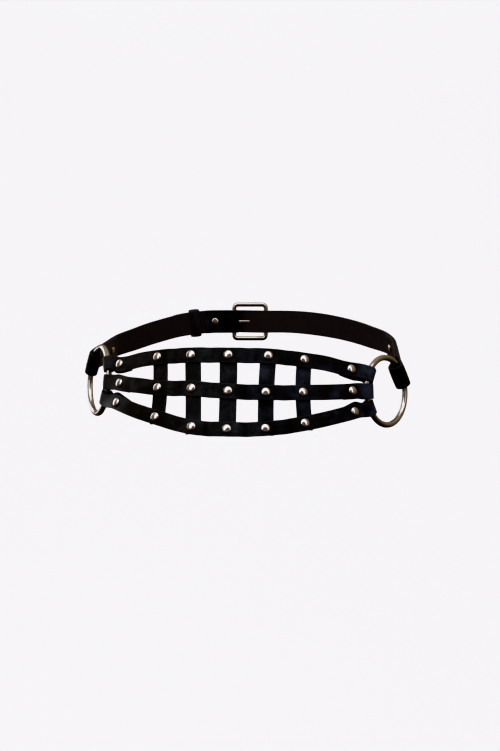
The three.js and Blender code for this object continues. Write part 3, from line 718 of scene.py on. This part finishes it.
def height_along(nodes, arc):
    """Smooth height through a table of arcs and heights.

    Hermite cubics whose slopes are those of the chords between each node's neighbours.
    """
    arcs, heights = (np.array([node[k] for node in nodes], float) for k in (0, 1))
    below = np.maximum(np.arange(len(nodes)) - 1, 0)
    above = np.minimum(np.arange(len(nodes)) + 1, len(nodes) - 1)
    slope = (heights[above] - heights[below]) / (arcs[above] - arcs[below])
    i = np.clip(np.searchsorted(arcs, arc) - 1, 0, len(nodes) - 2)
    run = arcs[i + 1] - arcs[i]
    t = (arc - arcs[i]) / run
    s = t * t * (3 - 2 * t)
    return (
        heights[i] * (1 - s) + heights[i + 1] * s
        + slope[i] * run * t * (1 - t) ** 2 - slope[i + 1] * run * t * t * (1 - t)
    )


# %% [markdown]
# ## Domed rivets
# A double-cap rivet is a stamped dome of about 7.6 mm over a post, set through both
# layers against a flatter cap behind. The profile turned round the post is the natural
# way to make one. The dome's rim rolls under, so that it bites a little into the leather.

# %% Rivet profile and setting
CAP_RADIUS = 3.8
CAP_HEIGHT = 1.7
CAP_GAP = 0.3
FLAT_CAP_HEIGHT = 0.8
POST_RADIUS = 1.4
REAR_CAP_RADIUS = 3.2
REAR_CAP_THICKNESS = 0.8
RIVET_SIDES = 40
CAP_STEPS = 14
ASKEW = [0.3, 0.2, 0.93]


def rivet_mesh(name, thickness, cap_height, station, axis):
    """A profile of radii and heights turned round an axis at a station of the strap.

    The dome is a quarter of an ellipse on a short upright wall; the cap behind is a flatter
    superellipse. ASKEW only has to point away from every rivet's axis.
    """
    face = thickness / 2
    back = -(1.5 * thickness + LAYER_GAP)
    turn = np.linspace(0, np.pi / 2, CAP_STEPS)[1:]
    rise = cap_height + CAP_GAP
    dome = np.stack([
        CAP_RADIUS * np.cos(turn), face + CAP_GAP + (rise - CAP_GAP) * np.sin(turn)], -1)[:-1]
    rear = np.stack([
        REAR_CAP_RADIUS * np.cos(turn) ** (2 / 3),
        back - CAP_GAP - REAR_CAP_THICKNESS * np.sin(turn) ** (2 / 3)], -1)[:-1][::-1]
    rim = np.array([
        (REAR_CAP_RADIUS, back - 0.1), (REAR_CAP_RADIUS - 0.3, back + 0.1),
        (POST_RADIUS, back + 0.1), (POST_RADIUS, face - 0.4),
        (CAP_RADIUS - 0.35, face - 0.4), (CAP_RADIUS - 0.06, face - 0.2),
        (CAP_RADIUS, face + 0.05)])
    profile = np.vstack([rear, rim, dome])
    around = full_turn(RIVET_SIDES)
    level = unit(np.cross(axis, ASKEW))
    spoke = circle(around, level, np.cross(axis, level))
    grid = station + profile[:, 0, None, None] * spoke + profile[:, 1, None, None] * axis
    mesh = grid_mesh(name, grid, around * CAP_RADIUS, run_length(profile), [nickel])
    pole = mesh.vertices[len(mesh.vertices) - 1]
    pole.co = (station + axis * (face + rise)) * MM
    return mesh


def rivet(name, thickness, cap_height, path, x):
    """A rivet through a strap at a place on its path, square to the leather."""
    x = np.array([x], float)
    point, across = stations(path, x)
    axis = unit(np.cross(path(x + STEP)[0] - path(x - STEP)[0], across))[0]
    if axis[:2] @ point[0, :2] < 0:
        axis = -axis
    place_piece(name, rivet_mesh(name, thickness, cap_height, point[0], axis), "nickel", name)


# %% [markdown]
# ## Front straps
# Each strap sags a little towards the waist in the windows between the uprights and
# rides up where it crosses one. Near a ring it lifts off the waist, because it is pulled
# straight. The two ends fold round the rings and their tails lie behind the strap.

# %% Front straps and their rivets
INNER = STAND_OFF + STRAP_THICKNESS / 2
OUTER = INNER + STRAP_THICKNESS + LAYER_GAP
RIVET_DENT = (0.3, 5.2)
WINDOW_MARGIN = 8


def front_strap(row):
    """One front strap with both folds, and the rivets along it.

    It wraps the wire, with more room the looser its loop is.
    """
    name = row["name"]
    places = {side: wire_place(rings[side], row[side]["angle"], 1) for side in rings}
    wires = {side: arc_of(places[side]["centre"]) for side in rings}
    nodes = [wires["left"], *studs[name], wires["right"]]
    arcs = [arc for arc, _ in studs[name]]
    lifts = {side: lift_to(places[side]["centre"], INNER, OUTER) for side in rings}

    def sag(arc):
        return WINDOW_SAG * sum(
            hump(arc, a + WINDOW_MARGIN, b - WINDOW_MARGIN)
            for a, b in zip(arcs[1:-2], arcs[2:-1]))

    def on_strap(arc, z, base):
        lift = lifts["left"](arc - wires["left"][0]) + lifts["right"](wires["right"][0] - arc)
        drop = sag(arc) if base == OUTER else 0
        return waist_at(arc, z, base + lift - drop)

    def height_at(arc):
        return (height_along(nodes, arc) + row["left"]["arch"] * hump(arc, *arcs[:2])
                + row["right"]["arch"] * hump(arc, *arcs[-2:]))

    def outer_path(arc):
        return on_strap(arc, height_at(arc), OUTER)

    def end_of(side):
        sign = rings[side]["side"]
        wire = wires[side][0]
        rivet_at = sign * (wire - arcs[-1 if sign > 0 else 0])
        marks = {
            "rivet": rivet_at, "bend": rivet_at - STUD_FLAT, "tail": rivet_at + PANEL_TAIL[side]}

        def layer(x, inside):
            arc = wire - sign * x
            if not inside:
                return outer_path(arc)
            to_tail = (marks["tail"] - x) / (marks["tail"] - marks["bend"])
            z = height_at(arc) + row[side]["lean"] * to_tail
            return on_strap(arc, z, INNER)

        loose = row[side]["loose"]
        bar = {"radius": WIRE_RADIUS + LOOSE_SLACK * loose, "ahead": LOOSE_AHEAD * loose,
               "pinch": FOLD_PINCH * (1 + loose), "wedge": FOLD_WEDGE, "saddle": 1}
        return strap_end(layer, places[side], bar, STRAP_THICKNESS, marks)

    middle = flat_line(*stations(outer_path, spread(arcs[0], arcs[-1])))
    left = reverse_line(end_of("left"))
    line = join_lines(left, middle, end_of("right"))
    length = run_length(line["point"])
    first = len(left["point"]) - 1
    on_line = np.interp(arcs, spread(arcs[0], arcs[-1]),
                        length[first:first + len(middle["point"])])
    strap_piece("front_strap_" + name, "strap_" + name, line, row["width"], STRAP_THICKNESS,
                [(where, *RIVET_DENT) for where in on_line])
    for i, arc in enumerate(arcs):
        rivet(f"stud_{name}_{i + 1}", STRAP_THICKNESS, CAP_HEIGHT, outer_path, arc)
    return length[-1]


for row in rows:
    print(row["name"], "strap cut to", round(front_strap(row)), "mm")

# %% [markdown]
# ## Uprights
# The uprights lie behind the front straps, and only the windows show them. Their ends
# stop just past the outer straps. A parabola through the three rivets gives their line,
# and it runs on straight past the outer two.


# %% Uprights
UPRIGHT_STEP = 0.002


def upright_strap(i, width, shift):
    """A short strap up the waist through the three rivets of a column."""
    column = np.array([studs[name][i + 1] for name in ("top", "middle", "bottom")], float)
    column[:, 0] += shift
    size = np.linalg.norm(column[0] - column[1]) + np.linalg.norm(column[1] - column[2])
    split = np.linalg.norm(column[0] - column[1]) / size

    def path(t):
        """A parabola through three points, and its tangent lines past the ends."""
        inside = np.clip(t, 0, 1)
        before = (1 - inside) * (split - inside) / split
        between = inside * (1 - inside) / (split * (1 - split))
        after = inside * (inside - split) / (1 - split)
        on = np.stack([before, between, after], -1) @ column
        ends = np.where((t < 0)[:, None], column[0] - column[1], column[2] - column[1])
        past = np.where(t < 0, -t, np.clip(t - 1, 0, None)) * size
        on = on + unit(ends) * past[:, None]
        return waist_at(on[:, 0], on[:, 1], INNER)

    over = UPRIGHT_OVERRUN / size
    t = spread(-over, 1 + over, SPACING / size)
    point, normal = path(t)
    ahead = path(t + UPRIGHT_STEP)[0] - path(t - UPRIGHT_STEP)[0]
    line = flat_line(point, unit(np.cross(normal, ahead)))
    strap_piece(f"upright_strap_{i + 1}", f"upright_{i + 1}", line, width, STRAP_THICKNESS)


for i, size in enumerate(uprights):
    upright_strap(i, **size)

# %% [markdown]
# ## Rings
# A ring is wire bent round and butted, so it is a circle carried round a circle. Where
# the ends meet, a fine seam is left even after welding and polishing.

# %% Rings
SEAM_WIDTH = 0.3
SEAM_DEPTH = 0.16
SEAM_SPAN = 0.08
RING_STEPS = 150
WIRE_SIDES = 36
seams = {"left": 150, "right": 90}


def ring_mesh(name, ring, seam):
    """A torus whose wire has a narrow groove at the seam: rings of points thicken there."""
    centre, panel, up, out = ring_axes(ring)
    near = np.array([-3, -1.6, -1, -0.5, 0, 0.5, 1, 1.6, 3]) * SEAM_WIDTH / RING_RADIUS
    rest = np.linspace(SEAM_SPAN, 2 * np.pi - SEAM_SPAN, RING_STEPS)
    turn = np.sort(np.append(rest, near % (2 * np.pi)))
    gap = np.minimum(turn, 2 * np.pi - turn) * RING_RADIUS
    wire = WIRE_RADIUS - SEAM_DEPTH * np.exp(-((gap / SEAM_WIDTH) ** 2))
    turn = turn + math.radians(seam)
    radial = circle(turn, ring["side"] * -panel, up)[:, None]
    around = full_turn(WIRE_SIDES)
    grid = centre + RING_RADIUS * radial + wire[:, None, None] * circle(around, radial, out)
    return grid_mesh(name, grid, around * WIRE_RADIUS, turn * RING_RADIUS,
                     [wire_steel], closed=True)


for side, ring in rings.items():
    mesh = ring_mesh("steel_ring_" + side, ring, seams[side])
    place_piece("steel_ring_" + side, mesh, "steel", "ring_" + side)

# %% [markdown]
# ## Back straps
# Each back strap folds round its ring, climbs to the small of the back and runs level
# there; its height and its slope change as a cubic. The left one ends in a fold round the
# buckle's heel bar. The right one is the tongue: under the front bar, over the heel bar,
# along the buckle strap and through the keeper, with a rounded tip.

# %% Routes of the back straps
BACK_HEIGHT = 60
BACK_LEVEL_RUN = 25
BACK_SINK = 1.6
SINK_RUN = (10, 45)
SETTLE_RUN = (3, 28)
BUCKLE_RUN = (45, 68)
LOOP_BEND = 15
BUCKLE_REACH = 14
BUCKLE_BAR = 4
BUCKLE_ACROSS = 30
BUCKLE_LIFT = 6.2
PRONG_RADIUS = 1.2
HEEL_ROOM = 0.1
HEEL_MARKS = {"rivet": 17, "bend": 10, "tail": 26}
TONGUE_LENGTH = 62
TONGUE_TIP = 13
TIP_STEPS = 24
KEEPER_AT = 48
KEEPER_BAND = 8
KEEPER_WALL = 1.8
BACK_INNER = STAND_OFF + BACK_THICKNESS / 2
BACK_OUTER = BACK_INNER + BACK_THICKNESS + LAYER_GAP
TONGUE_REST = BACK_OUTER + BACK_THICKNESS + LAYER_GAP
back_half = float(half_width(BACK_HEIGHT))


def settle(x, tail):
    """Offset of a back strap's outer layer: over its own tail, then down to the waist."""
    return BACK_OUTER + (BACK_INNER - BACK_OUTER) * smooth(
        x, tail + SETTLE_RUN[0], tail + SETTLE_RUN[1])


def back_route(side):
    """A back strap's place on its ring, its length, its marks and its path for an offset.

    With t from 0 at the ring to 1 at the level run, the height is that of the ring plus
    the whole climb times t*t*(3 - 2t), and the first slope adds slope*run*t*(1 - t)^2.
    """
    loop = back_loops[side]
    place = wire_place(rings[side], loop["angle"], -1)
    arc, low = arc_of(place["centre"])
    start = abs(arc) / float(half_width(low))
    length = (float(unit_arc(np.pi)) - start) * back_half
    level = length - BACK_LEVEL_RUN
    lift = lift_to(place["centre"], BACK_INNER, BACK_OUTER)

    def route(x, offset):
        t = np.clip(x / level, 0, 1)
        first = loop["slope"] * (np.minimum(x, 0) + level * t * (1 - t) ** 2)
        z = low + first + (BACK_HEIGHT - low) * t * t * (3 - 2 * t)
        angle = rings[side]["side"] * angle_of_arc(start + x / back_half)
        return waist(angle, z, offset + lift(x) - BACK_SINK * smooth(x, *SINK_RUN))

    bar = {"radius": WIRE_RADIUS + loop["slack"], "ahead": loop["ahead"]}
    marks = {"rivet": loop["rivet"], "bend": LOOP_BEND, "tail": loop["tail"]}
    return {"place": place, "length": length, "route": route, "bar": bar, "marks": marks}


def back_end(back):
    """The fold of a back strap round its ring."""
    def layer(x, inside):
        return back["route"](x, BACK_INNER if inside else settle(x, back["marks"]["tail"]))

    return strap_end(layer, back["place"], back["bar"], BACK_THICKNESS, back["marks"])


backs = {side: back_route(side) for side in rings}
heel_at = backs["left"]["length"] - BUCKLE_REACH


def buckle_side(q):
    """Offset of the buckle strap at q from its heel bar: over its tail, then down."""
    return BACK_OUTER + (BACK_INNER - BACK_OUTER) * smooth(q, *BUCKLE_RUN)


def buckle_layer(q, inside):
    """Path of the buckle strap's two layers by the distance from the heel bar."""
    return backs["left"]["route"](heel_at - q, BACK_INNER if inside else buckle_side(q))


def left_path(x):
    """Outer layer of the buckle strap along its whole length."""
    tail = backs["left"]["marks"]["tail"]
    return backs["left"]["route"](x, np.maximum(settle(x, tail), buckle_side(heel_at - x)))


TONGUE_RISE = [
    (-40, BACK_INNER), (-11, BACK_INNER), (12, 13.9), (17, 13.9), (28, 10.4),
    (36, 10.2), (42, TONGUE_REST), (58, TONGUE_REST), (80, TONGUE_REST - 1.5),
]


def tongue_path(past):
    """The tongue's path by the distance past the centre of the back."""
    past = np.asarray(past, float)
    rise = np.interp(past, *np.array(TONGUE_RISE, float).T)
    x = backs["right"]["length"] + past
    offset = np.where(past < TONGUE_RISE[0][0], settle(x, backs["right"]["marks"]["tail"]), rise)
    ahead = backs["left"]["route"](backs["left"]["length"] - past, offset)
    behind = backs["right"]["route"](x, offset)
    over = (past > 0)[..., None]
    return np.where(over, ahead[0], behind[0]), np.where(over, ahead[1], behind[1])


print("back straps in mm:", {side: round(back["length"]) for side, back in backs.items()})

# %% The buckle's frame of reference
back_point, back_normal = waist(np.array([np.pi]), np.array([BACK_HEIGHT]), -BACK_SINK)
back_out = back_normal[0]
back_way = np.array([-1.0, 0, 0])
back_up = np.cross(back_out, back_way)


def at_back(local):
    """Points given as (along the tongue, up, out) at the centre of the back."""
    return back_point[0] + local @ np.stack([back_way, back_up, back_out])


heel = {
    "centre": at_back(np.array([BUCKLE_REACH, 0, BUCKLE_LIFT])),
    "radial": back_way, "wire": back_up, "out": back_out,
}
heel_bar = {"radius": BUCKLE_BAR / 2 + HEEL_ROOM, "ahead": 0}
print("centre of the back:", np.round(back_point[0], 1))

# %% Back straps
def left_back_strap():
    """The buckle strap, from its fold on the ring to its fold on the heel bar."""
    ring_end = reverse_line(back_end(backs["left"]))
    run = flat_line(*stations(left_path, spread(
        backs["left"]["marks"]["rivet"], heel_at - HEEL_MARKS["rivet"])))
    buckle_end = strap_end(buckle_layer, heel, heel_bar, BACK_THICKNESS, HEEL_MARKS)
    line = reverse_line(join_lines(ring_end, run, buckle_end))
    strap_piece("buckle_strap", "back_strap_left", line, BACK_WIDTH, BACK_THICKNESS)


def right_back_strap():
    """The tongue strap: its width closes in a half circle at the tip."""
    ring_end = reverse_line(back_end(backs["right"]))
    end = BUCKLE_REACH + TONGUE_LENGTH
    start = backs["right"]["marks"]["rivet"] - backs["right"]["length"]
    run = spread(start, end - TONGUE_TIP)
    left = TONGUE_TIP * (1 - np.sin(np.linspace(0, np.pi / 2, TIP_STEPS)[1:-1]))
    past = np.concatenate([run, end - left])
    body = flat_line(*stations(tongue_path, past))
    tip = np.clip((end - past) / TONGUE_TIP, 0, 1)
    body["part"] = np.sqrt(np.clip(1 - (1 - tip) ** 2, 0.0004, 1))
    strap_piece("tongue_strap", "back_strap_right", join_lines(ring_end, body),
                BACK_WIDTH, BACK_THICKNESS)


left_back_strap()
right_back_strap()
for side, back in backs.items():
    rivet("stud_back_" + side, BACK_THICKNESS, FLAT_CAP_HEIGHT,
          lambda x, route=back["route"]: route(x, BACK_OUTER), back["marks"]["rivet"])
rivet("stud_buckle", BACK_THICKNESS, FLAT_CAP_HEIGHT,
      lambda x: backs["left"]["route"](x, BACK_OUTER), heel_at - HEEL_MARKS["rivet"])

# %% [markdown]
# ## Buckle and keeper
# The buckle is a plain frame of 4 mm wire with a pin as its prong, and the keeper is a
# band of the same leather. Frame and keeper are each an outline carried round a rounded
# rectangle.


# %% Rounded loops
def rounded_loop(half_long, half_wide, radius, count):
    """Even points round a rounded rectangle, and the outward directions there."""
    corners = [(1, 1), (-1, 1), (-1, -1), (1, -1)]
    angle, places = [], []
    for k, (sx, sy) in enumerate(corners):
        turn = np.linspace(k * np.pi / 2, (k + 1) * np.pi / 2, count)
        middle = np.array([sx * (half_long - radius), sy * (half_wide - radius)])
        places.append(middle + radius * np.stack([np.cos(turn), np.sin(turn)], -1))
        angle.append(turn)
    angle = np.concatenate(angle)
    return np.concatenate(places), np.stack([np.cos(angle), np.sin(angle)], -1)


def pipe(centres, radius, sides, normal):
    """A round bar along a line of centres, its section square to the line."""
    ahead = unit(np.gradient(centres, axis=0))
    first = unit(np.cross(ahead, normal))
    second = np.cross(ahead, first)
    section = circle(full_turn(sides), first[:, None], second[:, None])
    return centres[:, None] + radius[:, None, None] * section


# %% Buckle and keeper
CORNER_STEPS = 9
FRAME_CORNER = 3
BAR_SIDES = 24
PRONG_SIDES = 16
PRONG_FACET = 0.5
PRONG_STEPS = 30
PRONG_LENGTH = 2 * BUCKLE_REACH + 3
PRONG_START = 0.9
PRONG_CLIMB = 2.6
PRONG_TIP = 0.07
KEEPER_PLAY = {"wide": 1, "high": 0.4}
KEEPER_CORNER = 1.6


def buckle_meshes():
    """The frame, a torus stretched to a rounded rectangle, and a pin with a round tip."""
    loop, away = rounded_loop(BUCKLE_REACH, BUCKLE_ACROSS / 2, FRAME_CORNER, CORNER_STEPS)
    around = full_turn(BAR_SIDES)
    radius = BUCKLE_BAR / 2
    flat = loop[:, None] + radius * np.cos(around)[None, :, None] * away[:, None]
    level = np.broadcast_to(BUCKLE_LIFT + radius * np.sin(around), flat.shape[:2])
    frame_grid = at_back(np.concatenate([flat, level[..., None]], -1))
    frame_mesh = grid_mesh("buckle_frame", frame_grid, around * radius, run_length(loop),
                           [wire_steel], closed=True)
    t = np.linspace(0, 1, PRONG_STEPS)
    pin = np.stack([
        BUCKLE_REACH - t * PRONG_LENGTH, np.zeros(PRONG_STEPS),
        BUCKLE_LIFT + PRONG_START + PRONG_CLIMB * t], -1)
    thick = PRONG_RADIUS * np.sqrt(np.clip(1 - share(t, 1 - PRONG_TIP, 1) ** 2, 0.01, 1))
    prong_mesh = grid_mesh(
        "buckle_prong", pipe(at_back(pin), thick, PRONG_SIDES, back_up),
        np.arange(PRONG_SIDES) * PRONG_FACET, t * PRONG_LENGTH, [wire_steel])
    return frame_mesh, prong_mesh


def join_meshes(name, meshes):
    """One mesh from several, each kept as a closed shell."""
    made = [put(name, mesh) for mesh in meshes]
    with bpy.context.temp_override(
            active_object=made[0], selected_editable_objects=made, selected_objects=made):
        bpy.ops.object.join()
    mesh = made[0].data
    bpy.data.objects.remove(made[0])
    return mesh


def keeper_mesh():
    """A flat band carried round the two layers of strap that it holds."""
    wide = BACK_WIDTH + KEEPER_PLAY["wide"]
    high = 2 * BACK_THICKNESS + 3 * LAYER_GAP + KEEPER_PLAY["high"]
    loop, away = rounded_loop(
        (wide + KEEPER_WALL) / 2, (high + KEEPER_WALL) / 2, KEEPER_CORNER, CORNER_STEPS)
    a, b, look = strap_outline(KEEPER_BAND, KEEPER_WALL)
    spot, across = stations(
        lambda past: backs["left"]["route"](
            backs["left"]["length"] - past, (BACK_OUTER + TONGUE_REST) / 2),
        np.array([KEEPER_AT], float))
    ahead = tongue_path([KEEPER_AT + STEP])[0] - tongue_path([KEEPER_AT - STEP])[0]
    way = unit(ahead)[0]
    out = np.cross(way, across[0])
    flat = loop[:, None] + b[None, :, None] * away[:, None]
    grid = (
        spot[0] + flat[..., :1] * across[0] + flat[..., 1:] * out
        + a[None, :, None] * way
    )
    girth = run_length(np.stack([a, b], -1))
    return grid_mesh("keeper_band", grid, girth, run_length(loop), LEATHERS, look, closed=True)


place_piece("buckle_with_prong", join_meshes("buckle_with_prong", buckle_meshes()),
            "steel", "buckle")
place_piece("keeper_band", keeper_mesh(), "leather", "keeper")

# %% [markdown]
# ## Floor and backdrop
# The belt is shown as it hangs when worn, well above a sheet of pale paper that curves up
# into a wall. The wall stands far back, so that the belt throws no shadow on it.

# %% Paper sweep
FLOOR_DROP = 0.6
FLOOR_FRONT = -3.4
WALL_BACK = 3.2
SWEEP_RADIUS = 1.2
SWEEP_HALF = 5.5
SWEEP_HIGH = 5


def backdrop_mesh():
    """A sheet that runs along the floor, up a quarter circle and up the wall."""
    turn = np.linspace(-np.pi / 2, 0, 25)
    y = np.concatenate([
        [FLOOR_FRONT], WALL_BACK - SWEEP_RADIUS + SWEEP_RADIUS * np.cos(turn), [WALL_BACK]])
    z = np.concatenate([
        [0], SWEEP_RADIUS * (1 + np.sin(turn)), [SWEEP_HIGH]]) - FLOOR_DROP
    x = np.array([-SWEEP_HALF, SWEEP_HALF])
    corners = np.stack([np.repeat(x, len(y)), np.tile(y, 2), np.tile(z, 2)], -1)
    i = np.arange(len(y) - 1)
    faces = np.stack([i, i + len(y), i + len(y) + 1, i + 1], -1)
    mesh = bpy.data.meshes.new("paper_sweep")
    mesh.from_pydata(corners, [], faces.tolist())
    mesh.shade_smooth()
    return mesh


def stage_piece(name, mesh, paint, colour):
    """Puts matt paper of one colour in the scene, which isn't part of the belt."""
    material, tree, shader, _ = start_material(paint)
    connect(tree, shader, {"Base Color": linear(colour), "Roughness": 0.9})
    mesh.materials.append(material)
    made = put(name, mesh)
    return made


sweep = stage_piece("paper_sweep", backdrop_mesh(), "pale_paper", "#f2f0f1")
sweep.visible_glossy = False

# %% [markdown]
# ## Light
# Bright metal shows the room rather than itself, so every light is placed for what a dome
# mirrors. Two upright panels in front leave a gap for the camera, and their lower edges
# are level with the belt, so that the lower third of each dome stays dark. A panel above
# closes the white field at the top. One far round to the left gives the outer rims and
# the straps' ends their edge light. The last one only brightens the paper.


# %% Soft lights round the belt
LIGHT_DISTANCE = 2.7
lamps = [
    {"name": "front_left", "round": -34, "up": 28, "size": (1.9, 2.4), "glow": 1.75,
     "tint": "#f6faff"},
    {"name": "front_right", "round": 38, "up": 28, "size": (1.2, 2.6), "glow": 1.7,
     "tint": "#f6f8ff"},
    {"name": "above_front", "round": -2, "up": 58, "size": (2.4, 2.7), "glow": 1.6,
     "tint": "#f8faff"},
    {"name": "left_rim", "round": -126, "up": 16, "size": (1.5, 2.4), "glow": 1.8,
     "tint": "#f8faff"},
]


def add_lamp(name, at, aim, size, glow, tint):
    """A rectangular soft light whose power gives its face a wanted radiance.

    Power in watts is pi times area times radiance.
    """
    light = bpy.data.lights.new(name, "AREA")
    light.shape = "RECTANGLE"
    light.size, light.size_y = size
    light.energy = math.pi * size[0] * size[1] * glow
    light.color = linear(tint)[:3]
    holder = put(name, light)
    away = np.array(at, float) - np.array(aim, float)
    holder.location = at
    holder.rotation_euler = (
        math.atan2(math.hypot(away[0], away[1]), away[2]), 0, math.atan2(away[0], -away[1]))
    holder.visible_camera = False
    print(name, round(light.energy), "W")


for lamp in lamps:
    turn, rise = math.radians(lamp["round"]), math.radians(lamp["up"])
    at = LIGHT_DISTANCE * np.array([
        math.sin(turn) * math.cos(rise), -math.cos(turn) * math.cos(rise), math.sin(rise)])
    add_lamp(lamp["name"], at, (0, 0, 0), lamp["size"], lamp["glow"], lamp["tint"])
add_lamp("wall_wash", at=(0, 0.9, 2.9), aim=(0, WALL_BACK, 0.2), size=(4.5, 0.8), glow=13,
         tint="#f4faff")
bpy.data.objects["wall_wash"].visible_glossy = False

# %% [markdown]
# ### Dark card and dim room
# The dark patch low on the middle domes is what stands round the camera, so a dark card
# with sloping corners takes its place. The domes' brown sides mirror a dim, warm room: a
# gradient that runs from a dark floor to a lighter ceiling. The camera itself sees pale
# paper instead.


# %% Dark card and room
CARD_DISTANCE = 1.95
card = bpy.data.meshes.new("dark_card")
outline = [(-1.0, -1.8), (1.3, -1.8), (1.6, -0.6), (1.6, 0.4), (1.4, 1.1), (0.8, 1.6),
           (-0.1, 1.6), (-0.75, 1.2), (-1.05, 0.4), (-1.1, -0.6)]
card.from_pydata([(x, -CARD_DISTANCE, z) for x, z in outline], [], [range(len(outline))])
stage_piece("dark_card", card, "dark_card_paper", "#6c6264").visible_camera = False

room = bpy.data.worlds.new("room")
room.use_nodes = True
room_tree = room.node_tree
room_tree.nodes.clear()
way = add(room_tree, "ShaderNodeTexCoord").outputs["Generated"]
height = add(room_tree, "ShaderNodeSeparateXYZ", {"Vector": way})
shade = add(room_tree, "ShaderNodeMapRange", {
    "Value": height.outputs["Z"], "From Min": -0.75, "From Max": 0.85})
rise = add(room_tree, "ShaderNodeValToRGB", {"Fac": shade.outputs["Result"]})
for place, colour in ((0.16, "#261f1a"), (0.31, "#56493f"), (0.47, "#75665a"),
                      (0.63, "#7d6d60"), (0.9, "#978a7e")):
    rise.color_ramp.elements.new(place).color = linear(colour)
rise.color_ramp.elements[0].color = linear("#0f0c0a")
rise.color_ramp.elements[-1].color = linear("#aaa097")
dim = add(room_tree, "ShaderNodeBackground", {"Color": rise.outputs["Color"], "Strength": 1.1})
pale = add(room_tree, "ShaderNodeBackground", {"Color": linear("#f2f0f1"), "Strength": 1.15})
seen = add(room_tree, "ShaderNodeLightPath").outputs["Is Camera Ray"]
both = add(room_tree, "ShaderNodeMixShader",
           {0: seen, 1: dim.outputs[0], 2: pale.outputs[0]})
add(room_tree, "ShaderNodeOutputWorld", {"Surface": both.outputs[0]})
bpy.context.scene.world = room
bpy.context.scene.view_settings.view_transform = "Khronos PBR Neutral"
